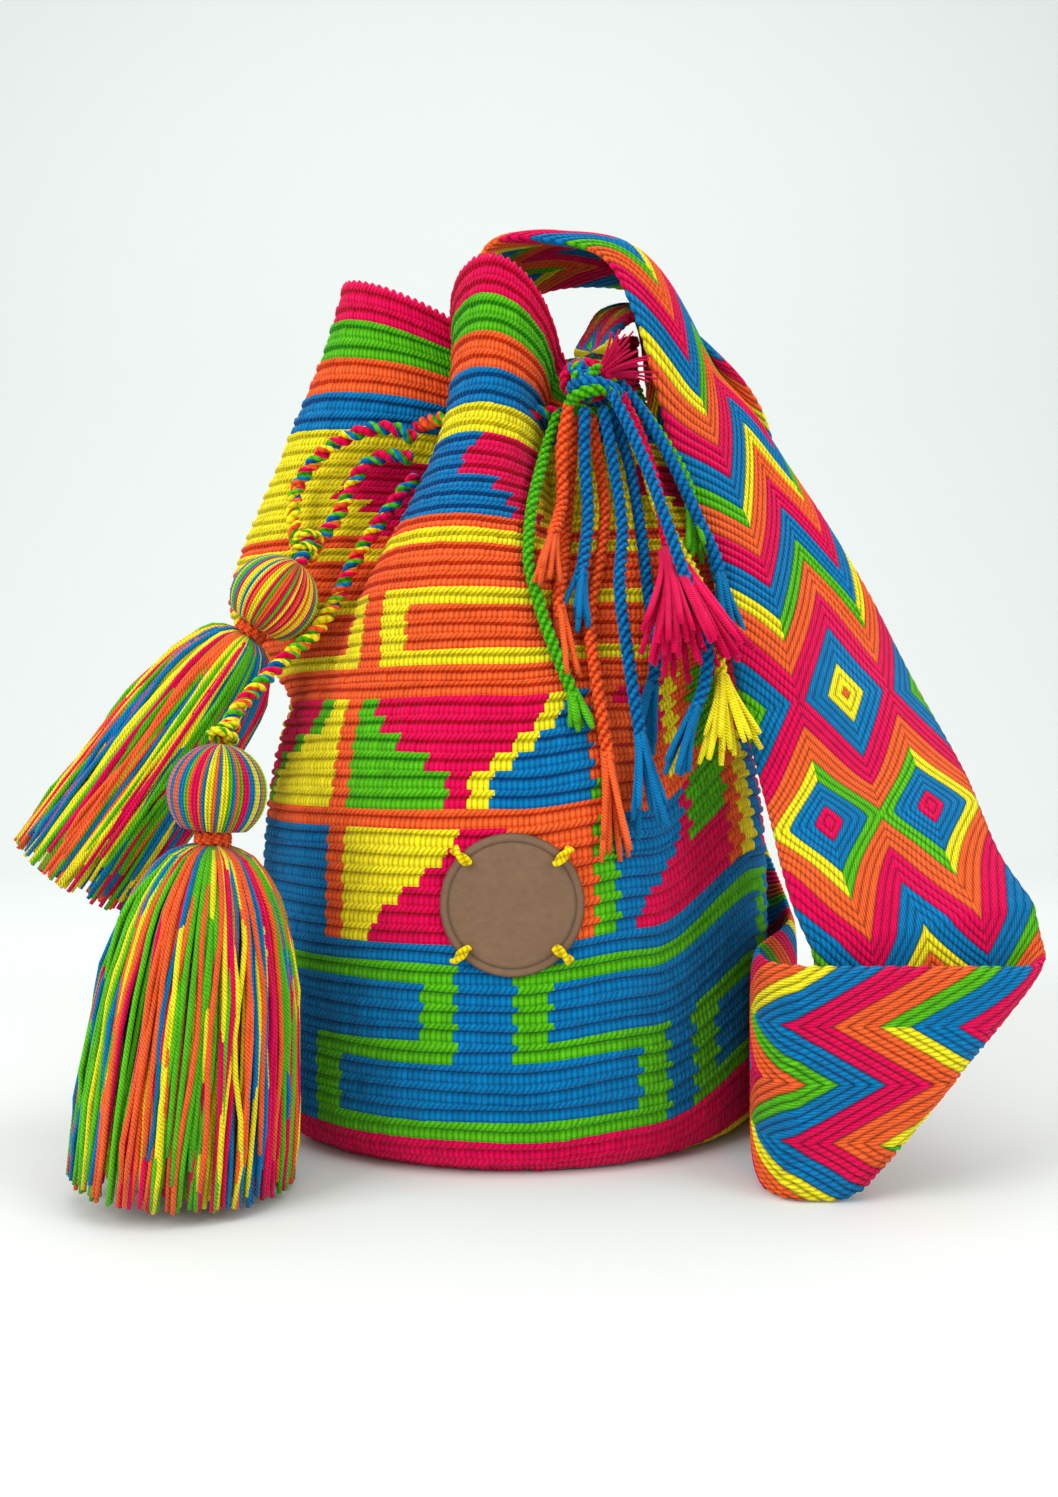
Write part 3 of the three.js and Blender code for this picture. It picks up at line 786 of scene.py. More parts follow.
def brush_lines(line, length, count, spread, thickness, pull=(0, 0, 0)):
    """Strands that leave a cord's end, spread out and droop."""
    end = line[-1]
    ahead = unit(line[-1] - line[-4])
    side, up = carried_frames(line)
    share = np.linspace(0, 1, 8)[:, None]
    lines = []
    for _ in range(count):
        turn = random_yarn.uniform(0, 2 * math.pi)
        out = math.sqrt(random_yarn.uniform(0, 1))
        away = math.cos(turn) * side[-1] + math.sin(turn) * up[-1]
        reach = length * random_yarn.uniform(0.75, 1.1)
        bend = random_yarn.normal(0, BRUSH_BEND, 3)
        start = end - BRUSH_ROOT * ahead + away * out * thickness
        fan = away * (out * spread * share**1.5)
        drift = ahead * reach * share + fan + bend * reach * share**2 * 0.5
        droop = np.array([[0, 0, -BRUSH_DROOP * reach]]) * share**2
        lines.append(start + drift + droop + np.array(pull) * share)
    return lines


# %% The fringe's brushes
BRUSH_STRAND = 0.0012

# Length, number of strands, and how far they spread as a share of the length
BRUSH = {
    "green": (0.012, 8, 0.2), "orange_short": (0.024, 9, 0.16), "orange_middle": (0.022, 9, 0.16),
    "blue_short": (0.020, 8, 0.18), "orange_long": (0.030, 10, 0.16), "blue_long": (0.027, 10, 0.2),
    "blue_middle": (0.022, 9, 0.2), "magenta": (0.036, 56, 0.42), "green_right": (0.020, 11, 0.3),
    "blue_right": (0.026, 12, 0.24), "blue_loop": (0.020, 9, 0.2), "yellow": (0.026, 14, 0.4),
}
# Steps back from the cord's end, thickness of the bundle, and pull at its tip
BRUSH_BASE = (0, 0.0016, (0, 0, 0))
WIDE_BRUSHES = {"magenta": (20, 0.0030, (0.004, -0.021, 0))}


def build_fringe():
    for name, route in FRINGE_ROUTES.items():
        colour = YARN[FRINGE_FOLLOWS[name]]
        plies = shades(colour, *FRINGE_SHADES)
        skin, line = twisted_cord(
            metres(route), FRINGE_DIAMETER, FRINGE_PITCH, plies, FRINGE_STEPS, strokes=1.6
        )
        piece = add_piece(f"fringe_{name}_yarn", [skin], CORD_YARN, f"fringe_{name}")
        length, count, spread = BRUSH[name]
        back, thickness, pull = WIDE_BRUSHES.get(name, BRUSH_BASE)
        root = line[: len(line) - back]
        lines = brush_lines(root, length, count, spread * length, thickness, pull)
        tones = [colour * random_yarn.uniform(0.85, 1.06) for _ in lines]
        strands = strand_skins(lines, BRUSH_STRAND, tones, strokes=1.3)
        brush = add_piece(f"fringe_{name}_brush", strands, CORD_YARN)


build_fringe()

# %% [markdown]
# ## The crocheted wall
# The wall's surface is a bucket below and a neck drawn into five folds above. It
# is worked out from a few levels: at each level a fold has an azimuth, a width
# and a reach, and the wall between the levels is a smooth curve for each column
# of stitches. An azimuth is 0 at the front and grows towards +X. The stitches
# are spaced evenly along every level, as in real crochet, so the folds don't
# stretch them.

# %% The bucket's profile
BODY_RADIUS = 0.108
BASE_RADIUS = 0.094
BASE_CORNER = 0.013
SHOULDER_RADIUS = 0.097
SHOULDER_HEIGHT = 0.172
DENT = {"azimuth": 40, "width": 13, "depth": 0.005}

PROFILE_POINTS = np.array([
    (BASE_RADIUS, 0, 0),
    (BODY_RADIUS - 0.004, 0.28 * BASE_CORNER, 0),
    (BODY_RADIUS, BASE_CORNER, 0),
    (BODY_RADIUS + 0.0005, 0.35 * SHOULDER_HEIGHT, 0),
    (BODY_RADIUS - 0.0005, 0.67 * SHOULDER_HEIGHT, 0),
    (BODY_RADIUS - 0.005, 0.87 * SHOULDER_HEIGHT, 0),
    (SHOULDER_RADIUS, SHOULDER_HEIGHT, 0),
])
profile_line = even_line(PROFILE_POINTS, 400)


def polar(azimuth, radius, height):
    angle = np.radians(azimuth)
    parts = np.broadcast_arrays(radius * np.sin(angle), -radius * np.cos(angle), height)
    return np.stack(parts, -1)


def turn_between(start, end):
    return (end - start + 180) % 360 - 180


def body_point(azimuth, share):
    place = np.clip(share, 0, 1) * (len(profile_line) - 1)
    index = np.arange(len(profile_line))
    radius = np.interp(place, index, profile_line[:, 0])
    height = np.interp(place, index, profile_line[:, 1])
    across = turn_between(DENT["azimuth"], azimuth) / DENT["width"]
    along = (height - 0.8 * SHOULDER_HEIGHT) / (0.45 * SHOULDER_HEIGHT)
    return polar(azimuth, radius - DENT["depth"] * np.exp(-(across**2) - along**2), height)


# %% The folds of the neck
# Azimuth, width and reach at the three levels, then the height of the fold's top
FOLDS = {
    "front": ((-20, -13, -6), (40, 38, 40), (0.093, 0.063, 0.058), 0.349),
    "right": ((62, 62, 60), (42, 36, 34), (0.098, 0.069, 0.056), 0.330),
    "back_right": ((118, 122, 124), (40, 36, 36), (0.097, 0.066, 0.064), 0.342),
    "back_left": ((-160, -160, -162), (40, 38, 38), (0.097, 0.066, 0.066), 0.344),
    "left": ((-97, -90, -80), (44, 38, 36), (0.127, 0.099, 0.075), 0.351),
}
FOLD_ROUNDNESS = 1.1
SECTION_POINTS = 2881
VALLEY_RADIUS = (0.072, 0.029, 0.036)
LEVEL_HEIGHT = (0.214, 0.284, 0.332)
LEVEL_RISE = (0, 0.25, 1)
RIM_HEIGHT = 0.332
RIM_DIP = {"azimuth": 45, "width": 62, "depth": 0.024}
FRONT_CREST = FOLDS["front"][0][0]


def swell(azimuth, centre, width):
    offset = np.minimum(1, np.abs(turn_between(centre, azimuth)) / width)
    return np.cos(math.pi / 2 * offset)


def gathered_section(level, share):
    """Points of one level of the neck, at shares of its length from the front fold's crest."""
    azimuth = FOLDS["front"][0][level] + np.linspace(0, 360, SECTION_POINTS)
    radius = np.full(len(azimuth), VALLEY_RADIUS[level])
    rise = np.zeros(len(azimuth))
    for centre, width, reach, top in FOLDS.values():
        part = np.maximum(swell(azimuth, centre[level], width[level]), 0) ** FOLD_ROUNDNESS
        radius += (reach[level] - VALLEY_RADIUS[level]) * part
        rise += LEVEL_RISE[level] * (top - RIM_HEIGHT) * part
    low_part = swell(azimuth, RIM_DIP["azimuth"], RIM_DIP["width"]) ** 2
    dip = LEVEL_RISE[level] * RIM_DIP["depth"] * low_part
    spots = polar(azimuth, radius, LEVEL_HEIGHT[level] + rise - dip)
    reach = lengths_along(spots)
    wanted = (share % 1) * reach[-1]
    return np.column_stack([np.interp(wanted, reach, spots[:, axis]) for axis in range(3)])


# %% Rows and stitches
STITCHES = 144
BODY_ROWS = 26
NECK_ROWS = 28
TOP_ROW = BODY_ROWS + NECK_ROWS
BASE_ROWS = 13
ROW_PITCH = 0.007
FRONT_WARP = 6.0
ACROSS = 4
FLANK_LIFT = 0.031
FRONT_LIFT = 0.006
LIFT_ROWS = (-3, 0, 19, 26, 42)
LIFT_SHARES = (0, 0.42, 1, 0.75, 0)
BODY_END_SHARE = 0.9
SHOULDER_TIME = 0.25
NECK_TIMES = 240


def stitch_azimuth(stitch):
    """Stitch 0 is at the front. The stitches there lie closer than those at the back."""
    even = 360 * stitch / STITCHES
    return even - FRONT_WARP * np.sin(np.radians(even))


def row_lift(azimuth, row):
    """How many rows the right flank is pulled up by the strap's side of the bag."""
    def ramp(start, end):
        return smooth_ramp(turn_between(0, azimuth) - start, end - start)

    pull = (FLANK_LIFT * ramp(28, 62) + FRONT_LIFT * ramp(0, 25)) * (1 - ramp(110, 172))
    return pull / ROW_PITCH * np.interp(row, LIFT_ROWS, LIFT_SHARES)


def wall_points(row, stitch):
    """Row (rings, columns) and stitch (columns,) to points, with the lift of the right flank."""
    azimuth = stitch_azimuth(stitch)
    place = row + row_lift(azimuth[None, :], row)
    column_share = (azimuth - FRONT_CREST) / 360
    below = [body_point(azimuth, np.full(len(stitch), share)) for share in (BODY_END_SHARE, 1.0)]
    levels = [gathered_section(level, column_share) for level in range(len(LEVEL_HEIGHT))]
    controls = np.stack(below + levels)
    dense_time = np.linspace(SHOULDER_TIME, 1, NECK_TIMES)
    dense = catmull(controls, np.repeat(dense_time[:, None], len(stitch), axis=1))
    mean_steps = np.linalg.norm(np.diff(dense, axis=0), axis=-1).mean(1)
    mean_reach = np.concatenate([[0], np.cumsum(mean_steps)]) / mean_steps.sum()
    neck_time = np.interp((place - BODY_ROWS) / NECK_ROWS, mean_reach, dense_time)
    neck = catmull(controls, neck_time)
    body = body_point(np.broadcast_to(azimuth, place.shape), place / BODY_ROWS)
    floor_radius = BASE_RADIUS * np.clip(1 + place / (BASE_ROWS + 0.4), 0.004, 1)
    floor = polar(np.broadcast_to(azimuth, place.shape), floor_radius, np.zeros(place.shape))
    low = (place < 0)[..., None]
    high = (place > BODY_ROWS)[..., None]
    return np.where(high, neck, np.where(low, floor, body))


# %% [markdown]
# ## One stitch
# Seen from outside, a row of single crochet is a band of upright posts with a
# slanting ridge of yarn along its top, and a dark crease below the ridge. Six
# samples up each row and four across each stitch are enough for that. The crease
# is also painted darker in the mesh's colour: painted shade. Each stitch also
# gets a small lift of its own, so that the rows look hand made.

# %% The relief of a row
ROW_SAMPLES = np.array([0.0, 0.14, 0.38, 0.55, 0.67, 0.86])
ROW_RELIEF = np.array([0.00005, 0.00045, 0.00035, -0.00075, 0.00085, 0.00105])
# Painted shade down each row: darkest in the crease below the ridge, a little lighter on the
# ridge's top.
ROW_SHADE = np.array([0.82, 1.0, 0.94, 0.45, 0.92, 1.06])
RIDGE_LEAN = np.array([0.0, 0.0, 0.0, 0.0, 0.45, 0.95])
RIDGE_LEAN_TOP = np.array([0.0, 0.0, 0.0, 0.45, 0.95, 1.3])
COLOUR_LEAN = np.array([0.0, 0.0, 0.0, 0.25, 0.5, 0.5])
POST_GROOVE = 0.00028
RIDGE_GROOVE = 0.4 * POST_GROOVE
STITCH_LIFT = 0.00016
ROW_WAVE = 0.035
RIM_BUMP = 0.0016
FLOOR_GAP = 0.0002
WALL_THICKNESS = 0.004
SAMPLES = len(ROW_SAMPLES)

random_stitch = np.random.default_rng(11)
outer_rows = np.arange(-BASE_ROWS, TOP_ROW)
row_values = (outer_rows[:, None] + ROW_SAMPLES[None, :]).ravel()
row_values = np.append(row_values, TOP_ROW)
stitch_values = np.arange(STITCHES * ACROSS) / ACROSS - STITCHES / 2
wobble_phase = random_stitch.uniform(0, 2 * math.pi, (3, len(outer_rows) + 1))


def row_wobble():
    """Rows of hand crochet aren't quite level: a few slow waves along each one."""
    sample_row = np.floor(row_values + BASE_ROWS).astype(int)
    turn = np.radians(stitch_values / STITCHES * 360)
    waves = sum(
        np.sin((wave * 3 + 2) * turn[None, :] + phase[sample_row][:, None])
        for wave, phase in enumerate(wobble_phase)
    )
    inside = (row_values > 0.5) & (row_values < TOP_ROW - 0.5)
    return ROW_WAVE * waves * inside[:, None]


outer = wall_points(row_values[:, None] + row_wobble(), stitch_values)
across_step = np.roll(outer, -1, axis=1) - np.roll(outer, 1, axis=1)
wall_normal = unit(np.cross(across_step, np.gradient(outer, axis=0)))


def stitch_relief():
    """How far each sample of the wall stands out of its smooth surface."""
    sample = np.arange(len(row_values)) % SAMPLES
    rows = np.arange(len(row_values)) // SAMPLES
    relief = np.repeat(ROW_RELIEF[sample][:, None], len(stitch_values), axis=1)
    middle = np.abs(np.sin(math.pi * stitch_values))[None, :]
    groove = np.where((sample <= 3)[:, None], POST_GROOVE, RIDGE_GROOVE)
    relief = relief + groove * (middle - 0.5)
    lifts = random_stitch.normal(0, STITCH_LIFT, (len(outer_rows) + 1, STITCHES))
    return relief + np.repeat(lifts, ACROSS, axis=1)[rows]


crocheted = outer + wall_normal * stitch_relief()[..., None]
crocheted[-1, :, 2] += RIM_BUMP * np.abs(np.sin(math.pi * stitch_values))
on_floor = row_values < 1
crocheted[on_floor, :, 2] = np.maximum(crocheted[on_floor, :, 2], FLOOR_GAP)
inner = outer - wall_normal * WALL_THICKNESS
print("wall rows:", len(outer_rows), "of", STITCHES, "stitches")

# %% [markdown]
# ## The pattern
# Tapestry crochet is drawn stitch by stitch on squared paper, so the pattern here
# is written the same way: rules that give a colour for a stitch and a row. A
# meander runs round the foot, two bands of stepped blocks lie above it, and the
# neck has outlined rectangles, a zigzag and plain stripes. The motifs are the
# traditional stairs, triangles and key lines, repeated every 36 stitches.

# %% Meander and blocks of the body
REPEAT = 36
MEANDER_SHIFT = 19
BAR_START = -18


def meander(stitch, row):
    """Key pattern in green on blue, nine rows, row 0 at the bottom."""
    place = (stitch + MEANDER_SHIFT) % REPEAT
    foot = place < 33
    outer_bar = (place < 3) | ((place >= 30) & foot)
    middle_line = (place < 14) | ((place >= 19) & foot)
    inner_bar = ((place >= 11) & (place < 14)) | ((place >= 19) & (place < 22))
    crown = (place < 14) | (place >= 19)
    rows = [foot] + 3 * [outer_bar] + [middle_line] + 3 * [inner_bar] + [crown]
    return np.where(rows[row], GREEN, BLUE)


UPPER_GREEN = (2, 3, 5, 8, 10, 10)
UPPER_MAGENTA = (19, 18, 16, 14, 12, 12)
UPPER_ORANGE = (26, 28, 30, 32, 34, 34)
LEFT_YELLOW = (2, 3, 6, 9, 11, 12)


def upper_blocks(stitch, row):
    """Six rows of stairs, row 0 at the top. The left repeat has a wide yellow stair."""
    place = (stitch - BAR_START) % REPEAT - 2
    repeat = (stitch - BAR_START) // REPEAT
    left = repeat == -1
    colour = np.where(place < UPPER_ORANGE[row], ORANGE, MAGENTA)
    colour = np.where(left & (place >= 12), MAGENTA, colour)
    colour = np.where((place < 25) & (row == 5) & ~left, GREEN, colour)
    colour = np.where((place < 23) & ~left, BLUE, colour)
    colour = np.where(place < UPPER_MAGENTA[row] + 2, YELLOW, colour)
    colour = np.where(place < UPPER_MAGENTA[row], MAGENTA, colour)
    colour = np.where(place < UPPER_GREEN[row], GREEN, colour)
    yellow = 34 - np.where(left, LEFT_YELLOW[row], 2)
    colour = np.where(left & (place >= yellow - 2), GREEN, colour)
    colour = np.where(place >= yellow, YELLOW, colour)
    return np.where(place < 0, ORANGE, colour)


LOWER_YELLOW = (11, 10, 8, 6, 4, 3)
LOWER_ORANGE = (15, 16, 17, 18, 20, 21)
LOWER_BLUE = (33, 33, 32, 30, 28, 27)
LEFT_ZIGZAG = ((0, 0, 0), (0, 0, 0), (0, 0, 0), (20, 20, 22), (21, 23, 25), (22, 25, 27))


def lower_blocks(stitch, row):
    """Six rows of stairs and triangles, row 0 at the top."""
    place = (stitch - BAR_START) % REPEAT - 2
    repeat = (stitch - BAR_START) // REPEAT
    colour = np.where(place < LOWER_BLUE[row], BLUE, MAGENTA)
    colour = np.where(place < 25, GREEN, colour)
    colour = np.where(place < 23, ORANGE, colour)
    colour = np.where(place < LOWER_ORANGE[row], MAGENTA, colour)
    colour = np.where(place < LOWER_YELLOW[row], YELLOW, colour)
    colour = np.where(place < 0, ORANGE, colour)
    first, second, third = LEFT_ZIGZAG[row]
    field = np.where((place >= second) & (place < third), GREEN, BLUE)
    field = np.where((place >= first) & (place < second), MAGENTA, field)
    colour = np.where((repeat == -1) & (place >= 14), field, colour)
    first_colour = GREEN if row < 3 else MAGENTA
    edges = [place < 3, place < 5, place < 8]
    flank = np.select(edges, [first_colour, ORANGE, YELLOW], BLUE)
    return np.where((repeat == 1) & (place < 12), flank, colour)


# %% Rectangles, zigzag and stripes of the neck
RECTANGLE_SHIFT = 14
ZIGZAG_SHIFT = 9
ZIGZAG_REPEAT = 24
ZIGZAG_START = (1, 0, -1, 4, 6, 7)
ZIGZAG_WIDTH = (9, 10, 11, 5, 4, 4)


def rectangles(stitch, row):
    """Yellow outlines on orange, five rows, row 0 at the bottom."""
    place = (stitch + RECTANGLE_SHIFT) % REPEAT
    upright = (place < 3) | ((place >= 30) & (place < 33))
    edge = place < 33 if row in (0, 4) else upright
    return np.where(edge, YELLOW, ORANGE)


def zigzag(stitch, row):
    """A stepped magenta band between blue and yellow, six rows, row 0 at the top."""
    place = (stitch + ZIGZAG_SHIFT) % ZIGZAG_REPEAT
    start = ZIGZAG_START[row]
    magenta = (place >= start) & (place < start + ZIGZAG_WIDTH[row])
    ground = np.where((stitch > -22) & (stitch < -2), BLUE, YELLOW)
    return np.where(magenta, MAGENTA, ground)


NECK_STRIPES = [
    (ORANGE, 2), (rectangles, 5), (ORANGE, 3), (YELLOW, 1), (ORANGE, 1), (zigzag, 6),
    (YELLOW, 2), (BLUE, 2), (ORANGE, 2), (GREEN, 2), (MAGENTA, 2),
]
BASE_STRIPES = [(YELLOW, 4), (ORANGE, 2), (MAGENTA, 2), (BLUE, 2), (GREEN, 3)]


def stripe_at(stripes, row):
    for colour, count in stripes:
        if row < count:
            return colour, row, count
        row -= count
    return colour, count - 1, count


def row_colours(row):
    """Colour numbers of all stitches of one row, stitch 0 first."""
    stitch = (np.arange(STITCHES) + STITCHES // 2) % STITCHES - STITCHES // 2
    if row < 0:
        return np.full(STITCHES, stripe_at(BASE_STRIPES, -1 - row)[0])
    if row < 3:
        return np.full(STITCHES, MAGENTA)
    if row < 12:
        return meander(stitch, row - 3)
    if row == 12:
        return np.full(STITCHES, BLUE)
    if row < 19:
        return lower_blocks(stitch, 18 - row)
    if row == 19:
        return np.full(STITCHES, ORANGE)
    if row < BODY_ROWS:
        return upper_blocks(stitch, BODY_ROWS - 1 - row)
    motif, step, count = stripe_at(NECK_STRIPES, row - BODY_ROWS)
    if motif is rectangles:
        return rectangles(stitch, step)
    if motif is zigzag:
        return zigzag(stitch, count - 1 - step)
    return np.full(STITCHES, motif)


# %% Colour every face of the wall
STITCH_TONE = 0.04
# Painted shade: the inside of the wall is painted darker than the outside.
INSIDE_SHADE = 0.8
STROKES_PER_STITCH = 2


def wall_colours():
    faces = []
    middle = stitch_values + 0.5 / ACROSS
    for row in outer_rows:
        chart = PALETTE[row_colours(row)]
        for lean, shade in zip(COLOUR_LEAN, ROW_SHADE):
            stitch = np.floor(middle - lean).astype(int) % STITCHES
            # Each sample's colour gets its row's painted shade.
            faces.append(paint_crease_shade(chart[stitch], shade))
    tones = random_stitch.normal(1, STITCH_TONE, (len(outer_rows), STITCHES))
    tones = np.repeat(np.repeat(tones, ACROSS, axis=1), SAMPLES, axis=0)
    return np.array(faces) * tones[..., None]


def outer_twist(lean):
    """The yarn's strokes are upright in the posts and lean in the ridge."""
    stitch = np.append(stitch_values, STITCHES / 2)
    sample = np.arange(len(row_values)) % SAMPLES
    return STROKES_PER_STITCH * stitch[None, :] - lean[sample][:, None]


outer_colours = wall_colours()
TWIST_LOW = outer_twist(RIDGE_LEAN)
TWIST_HIGH = outer_twist(RIDGE_LEAN_TOP)
print("coloured faces of the wall:", outer_colours.shape[0] * outer_colours.shape[1])


# %% Skin the base, the body and the neck
BAND_EDGE = BODY_ROWS + 1


def wall_band(name, first_row, last_row, inner_step, thin=1):
    """One band of rows, outside and inside, closed along both edges."""
    first = (first_row + BASE_ROWS) * SAMPLES
    last = (last_row + BASE_ROWS) * SAMPLES
    picks = np.arange(last, first - 1, -inner_step)
    shown = outer_colours[first:last]
    # The inside carries the outside's colours with painted shade.
    inside = outer_colours[np.minimum(picks, len(outer_colours) - 1)] * INSIDE_SHADE
    rings = np.concatenate([crocheted[first : last + 1], inner[picks]])
    colours = np.concatenate([shown, inside, inside[-1:]])
    back = TWIST_LOW[picks]
    low = np.concatenate([TWIST_LOW[first : last + 1], back, TWIST_LOW[first : first + 1]])
    high = np.concatenate([TWIST_HIGH[first:last], back, back[-1:]])
    rings, colours, low, high = (values[:, ::thin] for values in (rings, colours, low, high))
    skin = skin_rings(rings, colours, low, wrap=True, twist_top=high)
    add_piece(name, [skin], CROCHET_YARN, "crochet_bag")


wall_band("crochet_base", -BASE_ROWS, 0, SAMPLES, thin=2)
wall_band("crochet_body", 0, BAND_EDGE, 3 * SAMPLES)
wall_band("crochet_neck", BAND_EDGE, TOP_ROW, 3 * SAMPLES)

# %% [markdown]
# ## The shoulder strap
# The strap is one flat woven band. It starts in the neck, falls down the right
# side, turns over a diagonal line and goes round the back, up to its knot. Its
# yarns run slantwise and turn back at each quarter of the width, so the colours
# make zigzags, and after the turn they point the other way. The mesh stores how
# far along each point lies, less the slant. That single value gives both the
# strands and their colours.

# %% Stations along the strap, in millimetres
STRAP_WIDTH = 0.078
STRAP_THICKNESS = 0.0055
FOLD_RADIUS = 0.0065
FOLD_CENTRE = np.array([0.153, -0.118, 0.0402])
FALL_DIRECTION = np.array([0.2, 0, -0.98])
FOLD_STRETCH = 0.104
FALL_SHARE = 0.44
TURN_SHARE = 0.54

# A row is a centre, a direction across the band, and a bow: how far the middle stands out
FALL_STATIONS = [
    (-10, -21, 297, 0, 1, 0, 0), (-12, -19, 317, 0, 1, 0, 0), (-12.5, -13, 337, 0.05, 1, 0, 0),
    (-9, -10, 352, 0.12, 1, 0.05, 2), (3, -10, 361, 0.22, 1, 0.08, 5),
    (24, -9, 363, 0.25, 0.97, 0.12, 8), (47, -8, 358, 0.27, 0.95, 0.15, 10),
    (62, -9, 335, 0.31, 0.93, 0.2, 11), (71, -10, 310, 0.31, 0.87, 0.37, 13),
    (85, -21, 279, 0.5, 0.73, 0.46, 16), (100, -35, 247, 0.64, 0.66, 0.4, 12),
    (113, -55, 209, 0.82, 0.52, 0.22, 10), (121, -74, 174, 0.92, 0.36, 0.12, 7),
    (130, -95, 137, 0.97, 0.18, 0.13, 2), (136, -110.5, 107, 0.97, 0.12, 0.18, 0),
]
# The rise starts beside the body: azimuth, clearance and height, then the same
BESIDE_STATIONS = [
    (36, 52, 40.2, 0, 0, 1, 0), (36.2, 41.8, 40.2, 0, 0, 1, 0), (39.2, 31.3, 40.2, 0, 0, 1, 0),
    (45.3, 20, 40.4, 0, 0, 1, 0), (54.7, 13.2, 40.6, 0, 0, 1, 0), (67.1, 10.3, 41, 0, 0, 1, 0),
    (80.3, 10.7, 42, 0, 0, 1, 0), (93.8, 11.8, 44, 0.03, -0.08, 1, 0),
    (105.3, 13.3, 51, 0.12, -0.35, 0.93, 0), (116.4, 13.6, 66, 0.3, -0.6, 0.75, 0),
    (125.6, 13.8, 89, 0.48, -0.74, 0.47, 0), (131.3, 13.2, 118, 0.6, -0.78, 0.17, 0),
    (132.3, 10.9, 150, 0.64, -0.77, 0, 0), (130.5, 9, 184, 0.66, -0.75, 0, 0),
    (125.9, 4.4, 220, 0.66, -0.75, 0, 0),
]
KNOT_STATIONS = [
    (92, 50, 256, 0.66, -0.75, 0, 0), (89, 30, 290, 0.68, -0.73, 0, 0),
    (80, 15, 320, 0.68, -0.68, -0.2, 0), (64, 2, 342, 0.64, -0.64, -0.48, 0),
    (46, -13, 340, 0.68, -0.68, -0.25, 0), (36, -29, 326, 0.75, -0.66, 0, 0),
    (31, -43, 314, 0.85, -0.5, 0, 0),
]


def beside(azimuth, clearance, height, *rest):
    return (*1000 * polar(azimuth, BODY_RADIUS + clearance / 1000, height / 1000), *rest)


RISE_STATIONS = [beside(*station) for station in BESIDE_STATIONS] + KNOT_STATIONS
print("stations of the strap:", len(FALL_STATIONS), "and", len(RISE_STATIONS))

# %% The strap's middle surface
SPINE_STEPS = 4001
SEWN_WIDTH = 0.66
SEWN_SHARE = 0.07
KNOTTED_WIDTH = 0.2
KNOTTED_SHARE = 0.13
FALL_STEP = FALL_DIRECTION / np.linalg.norm(FALL_DIRECTION)
FOLD_LINE = unit(FALL_STEP + np.array([-1.0, 0, 0]))
FOLD_OUT = np.array([-FOLD_LINE[2], 0, FOLD_LINE[0]])
FOLD_FORWARD = np.array([0, -1.0, 0])
FALL_ACROSS = np.array([-FALL_STEP[2], 0, FALL_STEP[0]])


def turn_point(along, across):
    """The band rolls over a diagonal line and lies down in front of itself."""
    flat = along[..., None] * FALL_STEP + across[..., None] * FALL_ACROSS
    half_roll = math.pi * FOLD_RADIUS / 2
    beyond = flat @ FOLD_OUT + half_roll
    rolled = np.clip(beyond / FOLD_RADIUS, 0, math.pi)
    before = np.minimum(beyond, 0)
    after = np.maximum(beyond - 2 * half_roll, 0)
    reach = before + FOLD_RADIUS * np.sin(rolled) - after - half_roll
    forward = FOLD_RADIUS * (1 - np.cos(rolled))
    along_line = (flat @ FOLD_LINE)[..., None] * FOLD_LINE
    lying = along_line + reach[..., None] * FOLD_OUT
    return FOLD_CENTRE + lying + forward[..., None] * FOLD_FORWARD


def sweep_stations(stations):
    table = np.array(stations, float)
    centres = table[:, :3] / 1000
    widths = unit(table[:, 3:6])
    bows = table[:, 6] / 1000
    time = np.linspace(0, 1, SPINE_STEPS)
    dense = catmull(centres, time)
    reach = lengths_along(dense)
    ahead = unit(np.gradient(dense, axis=0))

    def place(share, spread, across):
        moment = np.interp(share, reach / reach[-1], time)
        width = unit(catmull(widths, moment))
        spot = moment * (len(stations) - 1)
        index = np.minimum(spot.astype(int), len(stations) - 2)
        bow = bows[index] + (bows[index + 1] - bows[index]) * smooth_ramp(spot - index, 1)
        forward = np.stack([np.interp(moment, time, ahead[:, axis]) for axis in range(3)], -1)
        lift = (bow * (1 - across**2))[..., None] * unit(np.cross(forward, width))
        return catmull(centres, moment) + width * spread[..., None] + lift

    return place


def end_station(along, width):
    spot = turn_point(np.array([along]), np.array([0.0]))[0] * 1000
    return (*spot, *width, 0)


fall_surface = sweep_stations(FALL_STATIONS + [end_station(-FOLD_STRETCH / 2, FALL_ACROSS)])
rise_surface = sweep_stations([end_station(FOLD_STRETCH / 2, (0, 0, 1))] + RISE_STATIONS)


def strap_surface(share, across):
    sewn = SEWN_WIDTH + (1 - SEWN_WIDTH) * smooth_ramp(share, SEWN_SHARE)
    knotted = KNOTTED_WIDTH + (1 - KNOTTED_WIDTH) * smooth_ramp(1 - share, KNOTTED_SHARE)
    spread = across * STRAP_WIDTH / 2 * sewn * knotted
    turned = ((share - FALL_SHARE) / (TURN_SHARE - FALL_SHARE) - 0.5) * FOLD_STRETCH
    fall = fall_surface(np.clip(share / FALL_SHARE, 0, 1), spread, across)
    risen = np.clip((share - TURN_SHARE) / (1 - TURN_SHARE), 0, 1)
    later = np.where(
        (share <= TURN_SHARE)[..., None],
        turn_point(turned, spread),
        rise_surface(risen, spread, across),
    )
    return np.where((share < FALL_SHARE)[..., None], fall, later)


